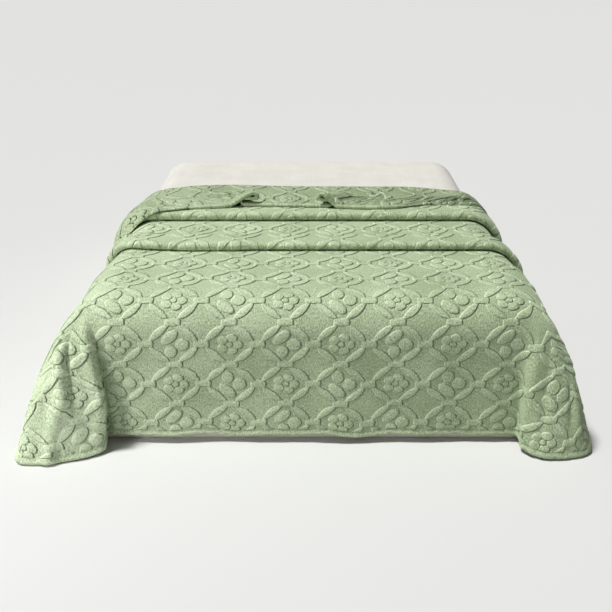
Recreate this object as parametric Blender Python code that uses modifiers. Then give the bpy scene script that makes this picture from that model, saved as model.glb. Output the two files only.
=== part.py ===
"""A plush fleece blanket lying over the foot of a plain bed.

The blanket is one cut length of cloth. It hangs over the foot and both sides of the mattress, stands out in
a soft cone at each foot corner, has two back-and-forth pleats across the bed, and is turned back on itself
near the middle of the bed, where the turned-back layer is pinched into two S-folds.

Axes: +X is the bed's right seen from the foot, +Y runs from foot to head, +Z is up. The origin is on the
floor, under the middle of the bed. All sizes are in metres.
"""

import math

import bmesh
import bpy
import numpy as np

# The bed
BED_WIDTH = 1.44
BED_LENGTH = 1.90
BED_TOP = 0.488
BASE_HEIGHT = 0.27
BASE_INSET = 0.006
BASE_ROUNDING = 0.012
MATTRESS_ROUNDING = 0.12
MATTRESS_LOWER_ROUNDING = 0.03
SEAT_GAP = 0.0003
CROWN_INSET = 0.07

# The cloth
CLOTH_WIDTH = 2.00
THICKNESS = 0.008
CLEARANCE = 0.0045

# The mattress's crown rises to just under the cloth, so the cloth rests on it and clears its edges
CROWN_RISE = CLEARANCE - SEAT_GAP

# Where the cloth leaves the flat of the bed and bends over its edge
EDGE_BEND = 0.108
FOOT_Y = -BED_LENGTH / 2
LIE = BED_TOP + CLEARANCE + THICKNESS / 2
BEND = EDGE_BEND + CLEARANCE + THICKNESS / 2
FLAT_X = BED_WIDTH / 2 - EDGE_BEND
FOOT_DROP = 0.533
SIDE_FLARE = math.radians(2.0)

# The handle that makes a cubic curve follow a quarter circle, as a share of its radius
QUARTER_HANDLE = 0.5523

# Soft waves, each (height, turns in a metre times two pi, phase): how far the foot drop and the side drops
# stand off the bed at their hems, and how the foot hem rises. They end where the cones begin
FOOT_WAVES = ((0.004, 9.0, 0.6), (0.003, 23.0, -1.0), (0.005, 0.0, math.pi / 2))
HEM_WAVES = ((0.003, 17.0, 2.2), (0.003, 31.0, 0.0))
SIDE_WAVES = ((0.006, 11.0, 0.0), (0.004, 19.0, 1.3), (0.006, 0.0, math.pi / 2))
WAVES_END = 0.50
WAVES_FADE = 0.14
SIDE_WAVES_START = 0.16
SIDE_WAVES_FADE = 0.20

# Near the foot the stiff plush stands this much wider than the bed, held out by the cones
CONE_REACH = 0.034
CONE_REACH_END = 0.25
CONE_REACH_FADE = 0.35
CORNER_X = FLAT_X + CONE_REACH
SIDE_DROP = CLOTH_WIDTH / 2 - CORNER_X

# The pleats across the bed, measured from the foot face
LIP_1 = 0.465
LIP_2 = 0.812
PLEAT_1_OVERLAP = 0.0675
PLEAT_2_OVERLAP = 0.085
PLEAT_LENGTH = 0.150
PLEAT_CLEAR = 0.56
HIDDEN_TURN = 0.006
LIP_1_TURN = 0.009
LIP_2_TURN = 0.011
LAYER = 0.012
LOOSE_LAYER = 0.016

# Where the turned-back layer falls off the second lip, ahead of it, and how far it falls along. Its hem
# droops on to what lies under it, over HEM_DROOP
OFF_LIP = 0.004
OFF_LIP_FALL = 0.050
HEM_DROOP = 0.075

# The S-folds of the turned-back layer. They fade out away from the hem: over PINCH_REACH the turns open
# first, and the run between them has gone before that. The fades are shares of PINCH_REACH. Away from the
# hem the turns are also pressed flat, by up to the share PINCH_FLATTENED of their height
PINCH_TURN = 0.013
PINCH_REACH = 0.15
PINCH_LEAST_RUN = 0.012
PINCH_OPEN = 0.20
PINCH_CLOSED = 0.75
PINCH_RUN_STARTS = 0.60
PINCH_FLATTENED = 0.62
LEFT_STRIP_END = -0.2665
RIGHT_STRIP_END = 0.0765
LEFT_OVERLAP = 0.045
RIGHT_OVERLAP = 0.032
LEFT_RISE_WIDTH = 0.11
RIGHT_RISE_WIDTH = 0.06

# The diagonal ridge on the right of the turned-back layer: where it starts and ends, (x, from foot)
RIDGE_START = (0.245, 0.87)
RIDGE_END = (0.346, 1.10)
RIDGE_HEIGHT = 0.011
RIDGE_WIDTH = 0.016
HOLLOW_DEPTH = 0.014
HOLLOW_WIDTH = 0.085
RIDGE_FADE = 0.04
HOLLOW_FADE = 0.06

# How the folds lie across the width. At each place across the cloth, measured from its middle: how far
# pleat 1 drifts to the head, where the turned-back hem lies, and the turn of the back fold
ACROSS_COLUMNS = ("across", "pleat_1_drift", "hem_from_foot", "back_turn")
ACROSS = (
    (-1.00, 0.085, 0.725, 0.012),
    (-0.88, 0.094, 0.742, 0.012),
    (-0.80, 0.095, 0.766, 0.012),
    (-0.72, 0.060, 0.802, 0.016),
    (-0.64, 0.022, 0.838, 0.024),
    (-0.52, 0.00, 0.862, 0.031),
    (-0.36, 0.00, 0.885, 0.033),
    (-0.10, 0.00, 0.875, 0.031),
    (0.20, 0.00, 0.862, 0.031),
    (0.45, 0.00, 0.852, 0.030),
    (0.58, 0.00, 0.900, 0.021),
    (0.70, 0.00, 0.965, 0.014),
    (1.00, 0.00, 1.010, 0.012),
)
MIDDLE_HEM = 0.875
BACK_FOLD = 1.085

# The cones at the foot corners. A row is one line of cloth from the bed's corner to the hem, at an angle
# from the foot drop (0) to the side drop (90). It gives the line's shoulder, where it has bent over the
# corner (outward, forward and down from the corner point), its place at the hem (from the bed's middle,
# in front of the foot face, above the floor), and how far it bows outward
CONE_COLUMNS = ("angle", "shoulder_out", "shoulder_fwd", "shoulder_down", "hem_x", "hem_fwd", "hem_z", "bow")
LEFT_CONE = (
    (0.0, 0.0000, 0.1165, 0.1165, 0.646, 0.0085, 0.0300, 0.000),
    (3.1, 0.0110, 0.1160, 0.1165, 0.675, 0.006, 0.029, 0.000),
    (7.0, 0.0230, 0.1170, 0.1165, 0.674, 0.045, 0.024, 0.000),
    (10.9, 0.0330, 0.1215, 0.1160, 0.675, 0.083, 0.014, 0.002),
    (15.3, 0.0480, 0.1250, 0.1160, 0.710, 0.109, 0.009, 0.006),
    (20.6, 0.0670, 0.1290, 0.1150, 0.766, 0.130, 0.007, 0.013),
    (26.4, 0.0900, 0.1310, 0.1130, 0.834, 0.146, 0.006, 0.022),
    (33.6, 0.1160, 0.1290, 0.1110, 0.926, 0.146, 0.006, 0.028),
    (42.0, 0.1370, 0.1180, 0.1090, 0.942, 0.066, 0.022, 0.026),
    (50.0, 0.1470, 0.1000, 0.1080, 0.934, -0.006, 0.058, 0.021),
    (58.0, 0.1470, 0.0780, 0.1100, 0.904, -0.054, 0.104, 0.014),
    (66.0, 0.1420, 0.0560, 0.1130, 0.864, -0.060, 0.144, 0.007),
    (74.0, 0.1330, 0.0370, 0.1150, 0.826, -0.040, 0.174, 0.002),
    (82.0, 0.1240, 0.0180, 0.1165, 0.796, -0.058, 0.196, 0.000),
    (90.0, 0.1165, 0.0000, 0.1165, 0.7685, -0.108, 0.2091, 0.000),
)
RIGHT_CONE = (
    (0.0, 0.0000, 0.1165, 0.1165, 0.646, 0.0085, 0.0300, 0.000),
    (3.6, 0.0110, 0.1165, 0.1165, 0.677, 0.012, 0.028, 0.000),
    (7.6, 0.0240, 0.1170, 0.1165, 0.687, 0.050, 0.024, 0.000),
    (12.4, 0.0390, 0.1200, 0.1160, 0.699, 0.096, 0.014, 0.004),
    (17.4, 0.0550, 0.1245, 0.1160, 0.740, 0.120, 0.009, 0.008),
    (22.4, 0.0700, 0.1280, 0.1150, 0.790, 0.122, 0.007, 0.014),
    (27.8, 0.0860, 0.1290, 0.1140, 0.846, 0.112, 0.006, 0.019),
    (33.6, 0.1030, 0.1270, 0.1130, 0.889, 0.092, 0.007, 0.022),
    (42.0, 0.1190, 0.1160, 0.1120, 0.905, 0.030, 0.030, 0.020),
    (50.0, 0.1290, 0.0980, 0.1120, 0.894, -0.030, 0.068, 0.015),
    (58.0, 0.1310, 0.0770, 0.1130, 0.867, -0.064, 0.112, 0.010),
    (66.0, 0.1280, 0.0550, 0.1150, 0.836, -0.064, 0.148, 0.005),
    (74.0, 0.1230, 0.0360, 0.1160, 0.808, -0.046, 0.175, 0.001),
    (82.0, 0.1180, 0.0180, 0.1165, 0.788, -0.062, 0.196, 0.000),
    (90.0, 0.1165, 0.0000, 0.1165, 0.7685, -0.108, 0.2091, 0.000),
)

# The grid of the blanket's solid: how many steps each stretch of the cloth gets
FOOT_STEPS = 9
FLAT_STEPS = 4
PLEAT_UNDER_STEPS = 2
PLEAT_FALL_STEPS = 5
BACK_STEPS = 2
SIDE_STEPS = 9
STRIP_STEPS = 2
PINCH_TURN_STEPS = 3
PINCH_RUN_STEPS = 1
OUTER_LEFT_STEPS = 4
OUTER_RIGHT_STEPS = 6
TURN_STEPS = 4
LIP_STEPS = 5
BACK_TURN_STEPS = 5
TURNED_STEPS = 8
TURNED_CROWDING = 1.4
CONE_LINE_STEPS = 48
TURN_SLICES = 24


def fresh_scene():
    """Remove whatever the scene holds, so that only the bed and blanket are in it."""
    for item in list(bpy.data.objects):
        bpy.data.objects.remove(item, do_unlink=True)
    collection = bpy.data.collections.new("flannel_blanket_on_bed")
    bpy.context.scene.collection.children.link(collection)
    return collection


def material(name, colour, roughness):
    """A plain coloured surface."""
    made = bpy.data.materials.new(name)
    made.use_nodes = True
    shader = made.node_tree.nodes["Principled BSDF"]
    shader.inputs["Base Color"].default_value = (*colour, 1.0)
    shader.inputs["Roughness"].default_value = roughness
    shader.inputs["Metallic"].default_value = 0.0
    return made


def ease(value):
    """0 below 0, 1 above 1, and a soft step between."""
    clipped = np.clip(value, 0.0, 1.0)
    return clipped * clipped * (3.0 - 2.0 * clipped)


def through(table, column_names, column, at):
    """Read one column of a table at any place along its first column, on a smooth curve."""
    rows = np.array(table, dtype=float)
    known = rows[:, 0]
    values = rows[:, column_names.index(column)]
    slopes = np.gradient(values, known)
    place = np.clip(np.asarray(at, dtype=float), known[0], known[-1])
    index = np.clip(np.searchsorted(known, place, side="right") - 1, 0, len(known) - 2)
    span = known[index + 1] - known[index]
    part = (place - known[index]) / span
    square = part * part
    cube = square * part
    return (
        (2 * cube - 3 * square + 1) * values[index]
        + (cube - 2 * square + part) * span * slopes[index]
        + (3 * square - 2 * cube) * values[index + 1]
        + (cube - square) * span * slopes[index + 1]
    )


def bezier(points, part):
    """A point on a cubic curve, each of its four control points an array of places."""
    rest = 1.0 - part
    weights = (rest ** 3, 3 * rest * rest * part, 3 * rest * part * part, part ** 3)
    return sum(weight[..., None] * point for weight, point in zip(weights, points))


def unit(vectors):
    """Vectors of length one."""
    return vectors / np.linalg.norm(vectors, axis=-1, keepdims=True)


def cone_line(table, angle, share):
    """Points on the lines of a cone: (out, forward, up) from the bed's corner point.

    angle is the line's angle in degrees, and share is how far along its length each point lies.
    """
    column = {name: through(table, CONE_COLUMNS, name, angle) for name in CONE_COLUMNS[1:]}
    turn = np.radians(angle)
    nothing = np.zeros_like(turn)
    corner = np.stack([nothing, nothing, nothing], axis=-1)
    along = np.stack([np.sin(turn), np.cos(turn), nothing], axis=-1)
    shoulder = np.stack([column["shoulder_out"], column["shoulder_fwd"], -column["shoulder_down"]], axis=-1)
    hem = np.stack(
        [column["hem_x"] - CORNER_X, column["hem_fwd"] + EDGE_BEND, column["hem_z"] - LIE], axis=-1
    )
    outward = unit(np.stack([hem[..., 0], hem[..., 1], nothing], axis=-1))
    reach = np.linalg.norm(hem - shoulder, axis=-1, keepdims=True)
    bow = outward * column["bow"][..., None] * 4.0
    leave = unit(hem - shoulder + bow)
    arrive = unit(hem - shoulder - bow * 0.5)
    round_part = QUARTER_HANDLE * BEND
    upper = (corner, corner + along * round_part, shoulder - leave * round_part, shoulder)
    lower = (shoulder, shoulder + leave * reach / 3, hem - arrive * reach / 3, hem)
    shares = np.linspace(0.0, 1.0, CONE_LINE_STEPS + 1)
    line = [bezier(upper, np.full_like(turn, part)) for part in shares[:-1]]
    line += [bezier(lower, np.full_like(turn, part)) for part in shares]
    line = np.stack(line, axis=0)
    lengths = np.linalg.norm(np.diff(line, axis=0), axis=-1)
    travelled = np.concatenate([np.zeros((1, *turn.shape)), np.cumsum(lengths, axis=0)], axis=0)
    wanted = share * travelled[-1]
    flat_line = line.reshape(len(line), -1, 3)
    flat_travel = travelled.reshape(len(line), -1)
    flat_wanted = wanted.reshape(-1)
    found = np.empty((flat_wanted.size, 3))
    for item in range(flat_wanted.size):
        for axis in range(3):
            found[item, axis] = np.interp(
                flat_wanted[item], flat_travel[:, item], flat_line[:, item, axis]
            )
    return found.reshape(*turn.shape, 3)


def corner_cloth(table, beyond_side, beyond_foot):
    """The cloth past both edges of the flat: (out, forward, up) from the bed's corner point."""
    angle = np.degrees(np.arctan2(beyond_side, beyond_foot))
    away = np.hypot(beyond_side, beyond_foot)
    to_foot_hem = FOOT_DROP / np.maximum(np.cos(np.radians(angle)), 1e-6)
    to_side_hem = SIDE_DROP / np.maximum(np.sin(np.radians(angle)), 1e-6)
    return cone_line(table, angle, away / np.minimum(to_foot_hem, to_side_hem))


def over_edge(beyond, height, flare):
    """The cloth bending over an edge of the bed: (out, up) from where the flat ends.

    height is how far the layer lies above the lowest one, so outer layers bend wider.
    """
    radius = BEND + height
    whole = math.pi / 2 - flare
    bent = np.minimum(beyond / radius, whole)
    hanging = np.maximum(beyond - radius * whole, 0.0)
    out = radius * np.sin(bent) + hanging * math.sin(flare)
    up = radius * (np.cos(bent) - 1.0) - hanging * math.cos(flare)
    return out, up + height


def waves(table, place):
    """The sum of a table's waves at a place."""
    return sum(height * np.sin(turns * place + phase) for height, turns, phase in table)


def foot_wave(across, share):
    """How far the foot drop stands off the bed, growing towards the hem."""
    inside = 1.0 - ease((np.abs(across) - WAVES_END) / WAVES_FADE)
    return waves(FOOT_WAVES, across) * share ** 2 * inside


def hem_wave(across):
    """How far the foot hem rises above its usual height."""
    return waves(HEM_WAVES, across) * (1.0 - ease((np.abs(across) - WAVES_END) / WAVES_FADE))


def flat_half(along):
    """Half the width over which the cloth lies flat, wider near the foot."""
    return FLAT_X + CONE_REACH * (1.0 - ease((along - CONE_REACH_END) / CONE_REACH_FADE))


def side_wave(along, beyond):
    """How far the side drops wave off the bed."""
    fade = ease((along - SIDE_WAVES_START) / SIDE_WAVES_FADE)
    return waves(SIDE_WAVES, along) * (beyond / SIDE_DROP) ** 2 * fade


def turn(centre, height, radius, steps, heading):
    """A half turn of the section, up and back: heading 1 comes from the foot, -1 from the head."""
    swing = np.linspace(-math.pi / 2, math.pi / 2, steps + 1)
    place = centre + heading * radius * np.cos(swing)
    lift = height + radius + radius * np.sin(swing)
    return list(zip(place, lift))[:-1]


def run(start, end, heights, steps):
    """A stretch of the section from start to end, with (share, height) places that it passes."""
    shares = [item[0] for item in heights]
    lifts = [item[1] for item in heights]
    points = []
    for step in range(steps):
        share = step / steps
        index = max(i for i in range(len(shares) - 1) if shares[i] <= share + 1e-9)
        part = (share - shares[index]) / (shares[index + 1] - shares[index])
        lift = lifts[index] + (lifts[index + 1] - lifts[index]) * float(ease(part))
        points.append((start + (end - start) * share, lift))
    return points


def turned_shares():
    """Where the rows of the turned-back layer lie, from the back fold to the hem, closer at the hem."""
    return 1.0 - (1.0 - np.arange(TURNED_STEPS + 1) / TURNED_STEPS) ** TURNED_CROWDING


def section(across):
    """The cloth's back-and-forth section on top of the bed, from the foot edge to the turned-back hem.

    Each point is (from foot, height above the lowest layer).
    """
    drift = float(through(ACROSS, ACROSS_COLUMNS, "pleat_1_drift", across))
    hem = float(through(ACROSS, ACROSS_COLUMNS, "hem_from_foot", across))
    back_turn = float(through(ACROSS, ACROSS_COLUMNS, "back_turn", across))
    back = BACK_FOLD + (hem - MIDDLE_HEM) / 2
    points = []
    place = EDGE_BEND
    pleats = (
        (LIP_1 + drift, LIP_1_TURN, PLEAT_1_OVERLAP),
        (LIP_2, LIP_2_TURN, PLEAT_2_OVERLAP),
    )
    for lip, lip_turn, overlap in pleats:
        hidden = lip + overlap
        top = 2 * HIDDEN_TURN + 2 * lip_turn
        rest = lip + PLEAT_LENGTH
        points += run(place, hidden, ((0.0, 0.0), (1.0, 0.0)), FLAT_STEPS)
        points += turn(hidden, 0.0, HIDDEN_TURN, TURN_STEPS, 1)
        points += run(hidden, lip, ((0.0, LAYER), (1.0, LAYER)), PLEAT_UNDER_STEPS)
        points += turn(lip, LAYER, lip_turn, LIP_STEPS, -1)
        points += run(lip, rest, ((0.0, top), (PLEAT_CLEAR, top), (1.0, 0.0)), PLEAT_FALL_STEPS)
        place = rest
    points += run(place, back, ((0.0, 0.0), (1.0, 0.0)), BACK_STEPS)
    points += turn(back, 0.0, back_turn, BACK_TURN_STEPS, 1)
    over_lip = 2 * (HIDDEN_TURN + LIP_2_TURN) + LOOSE_LAYER
    over_pleat = LIP_2 + PLEAT_2_OVERLAP
    for share in turned_shares():
        spot = back + (hem - back) * share
        ahead = float(ease((spot - over_pleat) / (back - over_pleat)))
        lift = over_lip + (2 * back_turn - over_lip) * ahead
        on_pleat = 1.0 - float(ease((LIP_2 - OFF_LIP - spot) / OFF_LIP_FALL))
        past_lip = max(spot - LIP_2, 0.0) / PLEAT_LENGTH
        settled = 1.0 - float(ease((past_lip - PLEAT_CLEAR) / (1.0 - PLEAT_CLEAR)))
        resting = LAYER + 2 * (HIDDEN_TURN + LIP_2_TURN) * settled * on_pleat
        loose = float(ease((spot - hem) / HEM_DROOP)) * on_pleat
        points.append((spot, resting + (lift - resting) * loose))
    return points


def section_rows():
    """How many rows the section has, and each row's closeness to the turned-back hem, 0 to 1."""
    row_count = len(section(0.0))
    from_hem = (BACK_FOLD - MIDDLE_HEM) * (1.0 - turned_shares())
    closeness = np.zeros(row_count)
    closeness[-len(from_hem):] = np.clip(1.0 - from_hem / PINCH_REACH, 0.0, 1.0)
    return row_count, closeness


def pinch(closeness, overlap):
    """Size the S-fold at a row: how far its turns swing, its middle run, and the share of its height kept."""
    swing = math.pi * float(ease((closeness - PINCH_OPEN) / (PINCH_CLOSED - PINCH_OPEN)))
    middle = overlap * float(np.clip((closeness - PINCH_RUN_STARTS) / (1.0 - PINCH_RUN_STARTS), 0.0, 1.0))
    firm = float(ease((closeness - PINCH_RUN_STARTS) / (1.0 - PINCH_RUN_STARTS)))
    return swing, max(middle, PINCH_LEAST_RUN), 1.0 - PINCH_FLATTENED * (1.0 - firm)


def half_columns(closeness, side):
    """Columns from the middle strip to the side edge: cloth place, sideways place and lift."""
    overlap = LEFT_OVERLAP if side < 0 else RIGHT_OVERLAP
    strip_end = abs(LEFT_STRIP_END if side < 0 else RIGHT_STRIP_END)
    rise_width = LEFT_RISE_WIDTH if side < 0 else RIGHT_RISE_WIDTH
    outer_steps = OUTER_LEFT_STEPS if side < 0 else OUTER_RIGHT_STEPS
    swing, middle, kept = pinch(closeness, overlap)
    turn_length = math.pi * PINCH_TURN
    stops = [(turn_length, 0.0, 1.0, PINCH_TURN_STEPS)]
    stops += [(middle, 1.0, 1.0, PINCH_RUN_STEPS)]
    stops += [(turn_length, 1.0, 0.0, PINCH_TURN_STEPS)]
    cloth = [strip_end]
    place = [strip_end]
    lift = [0.0]
    for length, bend_from, bend_to, steps in stops:
        for step in range(steps):
            part = (step + (np.arange(TURN_SLICES) + 0.5) / TURN_SLICES) / steps
            angle = swing * (bend_from + (bend_to - bend_from) * part)
            cloth.append(cloth[-1] + length / steps)
            place.append(place[-1] + length / steps * float(np.mean(np.cos(angle))))
            lift.append(lift[-1] + length / steps * float(np.mean(np.sin(angle))) * kept)
    fold_end = cloth[-1]
    shift = place[-1] - fold_end
    top_lift = lift[-1]
    outer = [fold_end + (CORNER_X - fold_end) * (step + 1) / outer_steps for step in range(outer_steps)]
    outer += [CORNER_X + SIDE_DROP * (step + 1) / SIDE_STEPS for step in range(SIDE_STEPS)]
    for spot in outer:
        share = float(ease((spot - fold_end) / (CLOTH_WIDTH / 2 - fold_end)))
        fall = float(ease((spot - fold_end) / rise_width))
        cloth.append(spot)
        place.append(spot + shift * (1.0 - 0.5 * share))
        lift.append(top_lift * (1.0 - fall))
    return cloth, place, lift


def columns(closeness):
    """All columns of a row from the left edge to the right: cloth place, sideways place and lift."""
    left = half_columns(closeness, -1)
    right = half_columns(closeness, 1)
    strip = [
        LEFT_STRIP_END + (RIGHT_STRIP_END - LEFT_STRIP_END) * step / STRIP_STEPS
        for step in range(1, STRIP_STEPS)
    ]
    cloth = [-value for value in reversed(left[0])] + strip + right[0]
    place = [-value for value in reversed(left[1])] + strip + right[1]
    lift = list(reversed(left[2])) + [0.0] * len(strip) + right[2]
    return np.array(cloth), np.array(place), np.array(lift)


def flap_relief(place, spot):
    """The diagonal ridge on the right of the turned-back layer, and the hollow beside it."""
    start = np.array(RIDGE_START)
    along = np.array(RIDGE_END) - start
    length = np.linalg.norm(along)
    along = along / length
    offset = np.stack([place - start[0], spot - start[1]], axis=-1)
    forward = offset @ along
    aside = offset[..., 0] * along[1] - offset[..., 1] * along[0]
    ends = ease(forward / RIDGE_FADE + 0.5) * ease((length - forward) / RIDGE_FADE + 0.5)
    ridge = RIDGE_HEIGHT * np.exp(-((aside / RIDGE_WIDTH) ** 2))
    hollow = HOLLOW_DEPTH * ease(-aside / RIDGE_FADE) * ease((aside + HOLLOW_WIDTH) / RIDGE_FADE)
    inner = ease(forward / HOLLOW_FADE - 1.0) * ease((length - forward) / HOLLOW_FADE - 0.3)
    return ridge * ends - hollow * inner


def cloth_middle():
    """The middle surface of the cloth as a grid of places, row by row from the foot hem."""
    row_count, closeness = section_rows()
    flat_cloth, flat_place, _ = columns(0.0)
    wide = len(flat_cloth)
    grid = np.zeros((FOOT_STEPS + row_count, wide, 3))
    for row in range(FOOT_STEPS):
        beyond_foot = FOOT_DROP * (1.0 - row / FOOT_STEPS)
        share = beyond_foot / FOOT_DROP
        beyond_side = np.maximum(np.abs(flat_cloth) - CORNER_X, 0.0)
        out, up = over_edge(np.full(wide, beyond_foot), 0.0, 0.0)
        lifted = hem_wave(flat_cloth) * share ** 2
        grid[row, :, 0] = flat_cloth
        grid[row, :, 1] = FOOT_Y + EDGE_BEND - out - foot_wave(flat_cloth, share)
        grid[row, :, 2] = LIE + up + lifted
        for side, table in ((-1, LEFT_CONE), (1, RIGHT_CONE)):
            beyond = (side * flat_cloth) > CORNER_X + 1e-9
            spots = corner_cloth(table, beyond_side[beyond], np.full(beyond.sum(), beyond_foot))
            grid[row, beyond, 0] = side * (CORNER_X + spots[:, 0])
            grid[row, beyond, 1] = FOOT_Y + EDGE_BEND - spots[:, 1]
            grid[row, beyond, 2] = LIE + spots[:, 2]
    for index in range(row_count):
        cloth, place, lift = columns(closeness[index])
        for column in range(wide):
            spot, height = section(cloth[column])[index]
            sideways = place[column]
            height += lift[column]
            if closeness[index] > 0.0:
                height += float(flap_relief(np.array(sideways), np.array(spot)))
            flat = float(flat_half(spot))
            beyond = max(abs(sideways) - flat, 0.0)
            out, up = over_edge(np.array(beyond), height, SIDE_FLARE)
            out = float(out) + float(side_wave(spot, beyond))
            x = math.copysign(min(abs(sideways), flat) + out, sideways)
            grid[FOOT_STEPS + index, column] = (x, FOOT_Y + spot, LIE + float(up))
    return grid


def thicken(middle):
    """Both faces of the cloth, each half the thickness away from the middle surface."""
    down_rows = np.gradient(middle, axis=0)
    across_columns = np.gradient(middle, axis=1)
    normal = unit(np.cross(across_columns, down_rows))
    return middle + normal * THICKNESS / 2, middle - normal * THICKNESS / 2


def sheet_mesh(name, upper, lower):
    """One closed sheet from its two faces and the rim between them."""
    rows, wide = upper.shape[:2]
    count = rows * wide
    corner = np.arange(count).reshape(rows, wide)
    faces = []
    for row in range(rows - 1):
        for column in range(wide - 1):
            a, b = int(corner[row, column]), int(corner[row, column + 1])
            c, d = int(corner[row + 1, column + 1]), int(corner[row + 1, column])
            # Each square is split along the ridge of the cone on its own side
            halves = ((a, b, c), (a, c, d)) if column < wide // 2 else ((a, b, d), (b, c, d))
            for half in halves:
                faces.append(half)
                faces.append(tuple(item + count for item in reversed(half)))
    rim = [int(item) for item in corner[0, :]]
    rim += [int(item) for item in corner[1:, -1]]
    rim += [int(item) for item in corner[-1, -2::-1]]
    rim += [int(item) for item in corner[-2:0:-1, 0]]
    for here, there in zip(rim, rim[1:] + rim[:1]):
        faces.append((there, here, here + count, there + count))
    mesh = bpy.data.meshes.new(name)
    mesh.from_pydata(np.concatenate([upper.reshape(-1, 3), lower.reshape(-1, 3)]).tolist(), [], faces)
    mesh.validate()
    mesh.shade_smooth()
    return mesh


def blanket(collection):
    """The cloth, one sheet."""
    middle = cloth_middle()
    upper, lower = thicken(middle)
    mesh = sheet_mesh("blanket", upper, lower)
    made = bpy.data.objects.new("blanket", mesh)
    made.data.materials.append(material("sage_plush_fleece", (0.365, 0.456, 0.266), 0.95))
    collection.objects.link(made)
    return made


def mattress(collection):
    """A plain mattress with soft, well rounded upper edges and a slight crown."""
    height = BED_TOP - BASE_HEIGHT - SEAT_GAP
    mesh = bpy.data.meshes.new("mattress")
    shape = bmesh.new()
    bmesh.ops.create_cube(shape, size=1.0)
    bmesh.ops.scale(shape, vec=(BED_WIDTH, BED_LENGTH, height), verts=shape.verts)
    top = [edge for edge in shape.edges if all(point.co.z > 0 for point in edge.verts)]
    upright = [edge for edge in shape.edges if abs(edge.verts[0].co.z - edge.verts[1].co.z) > height / 2]
    bmesh.ops.bevel(shape, geom=top + upright, offset=MATTRESS_ROUNDING, segments=6, profile=0.5,
                    affect="EDGES")
    lowest = min(point.co.z for point in shape.verts)
    bottom = [edge for edge in shape.edges if all(abs(point.co.z - lowest) < 1e-5 for point in edge.verts)]
    bmesh.ops.bevel(shape, geom=bottom, offset=MATTRESS_LOWER_ROUNDING, segments=3, profile=0.5,
                    affect="EDGES")
    top_face = max((face for face in shape.faces if face.normal.z > 0.99), key=lambda face: face.calc_area())
    bmesh.ops.inset_region(shape, faces=[top_face], thickness=CROWN_INSET, depth=CROWN_RISE)
    shape.to_mesh(mesh)
    shape.free()
    mesh.shade_smooth()
    made = bpy.data.objects.new("mattress", mesh)
    made.location = (0.0, 0.0, BASE_HEIGHT + SEAT_GAP + height / 2)
    made.data.materials.append(material("white_mattress_cover", (0.80, 0.79, 0.76), 0.9))
    collection.objects.link(made)
    return made


def bed_base(collection):
    """A plain upholstered base that stands flat on the floor."""
    bpy.ops.mesh.primitive_cube_add(size=1.0, location=(0.0, 0.0, BASE_HEIGHT / 2))
    made = bpy.context.active_object
    made.name = "bed_base"
    made.data.name = "bed_base"
    made.scale = (BED_WIDTH - 2 * BASE_INSET, BED_LENGTH - 2 * BASE_INSET, BASE_HEIGHT)
    bpy.ops.object.transform_apply(location=False, rotation=False, scale=True)
    rounding = made.modifiers.new("rounding", "BEVEL")
    rounding.width = BASE_ROUNDING
    rounding.segments = 3
    made.data.materials.append(material("pale_upholstered_base", (0.74, 0.72, 0.68), 0.9))
    for holder in list(made.users_collection):
        holder.objects.unlink(made)
    collection.objects.link(made)
    return made


def main():
    """Make the bed and the blanket over it."""
    collection = fresh_scene()
    bed_base(collection)
    mattress(collection)
    made = blanket(collection)
    print("blanket triangles", sum(len(face.vertices) - 2 for face in made.data.polygons))


main()
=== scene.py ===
# %% [markdown]
# # A carved fleece blanket over the foot of a bed
#
# A plush blanket is spread over the foot of a bed. It falls over three edges, stands out in a soft cone at
# each corner, is pleated twice across the bed, and is turned back near the middle. Its deep pile is carved
# into a lattice of rings, each made of four leaves, with a flower or a rosette inside.
#
# The construction and the sizes come from the frame, the plain solids that were made first. This lesson
# dresses them: a finer cloth with its carved relief, a mattress with its cover, and their finishes.

# %% Load the frame
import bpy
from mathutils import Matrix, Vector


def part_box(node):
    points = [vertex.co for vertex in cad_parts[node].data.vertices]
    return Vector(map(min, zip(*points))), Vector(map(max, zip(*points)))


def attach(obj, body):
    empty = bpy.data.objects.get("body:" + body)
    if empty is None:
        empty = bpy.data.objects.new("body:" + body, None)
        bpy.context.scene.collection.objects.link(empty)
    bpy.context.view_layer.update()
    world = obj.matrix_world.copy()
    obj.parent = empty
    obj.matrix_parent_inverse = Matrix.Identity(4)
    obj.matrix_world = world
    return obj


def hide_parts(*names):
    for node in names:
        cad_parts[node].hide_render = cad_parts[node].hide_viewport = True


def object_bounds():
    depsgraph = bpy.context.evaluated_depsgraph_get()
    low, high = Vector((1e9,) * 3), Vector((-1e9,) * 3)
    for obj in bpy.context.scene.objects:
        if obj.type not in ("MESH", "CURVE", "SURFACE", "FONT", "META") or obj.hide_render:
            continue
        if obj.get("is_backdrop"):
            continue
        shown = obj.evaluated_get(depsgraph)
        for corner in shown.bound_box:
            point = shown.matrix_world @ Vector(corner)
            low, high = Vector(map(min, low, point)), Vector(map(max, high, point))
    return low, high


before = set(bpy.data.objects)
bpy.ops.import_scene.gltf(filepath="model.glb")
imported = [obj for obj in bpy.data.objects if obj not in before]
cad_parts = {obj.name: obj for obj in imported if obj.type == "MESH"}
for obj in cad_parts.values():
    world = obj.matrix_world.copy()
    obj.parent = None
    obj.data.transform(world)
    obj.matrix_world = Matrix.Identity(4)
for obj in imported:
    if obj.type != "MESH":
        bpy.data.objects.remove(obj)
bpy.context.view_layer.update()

# %% Bring in the tools
import math

import bmesh
import bpy
import numpy as np
from mathutils import Vector

# %% [markdown]
# ## The camera
#
# The photograph was taken from in front of the foot of the bed, at a standing person's eye level, and looks
# down on it. Lines that run along the bed meet high above it, and from where they meet and how wide the hem
# looks come the camera's height, its distance and its tilt.

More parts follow.
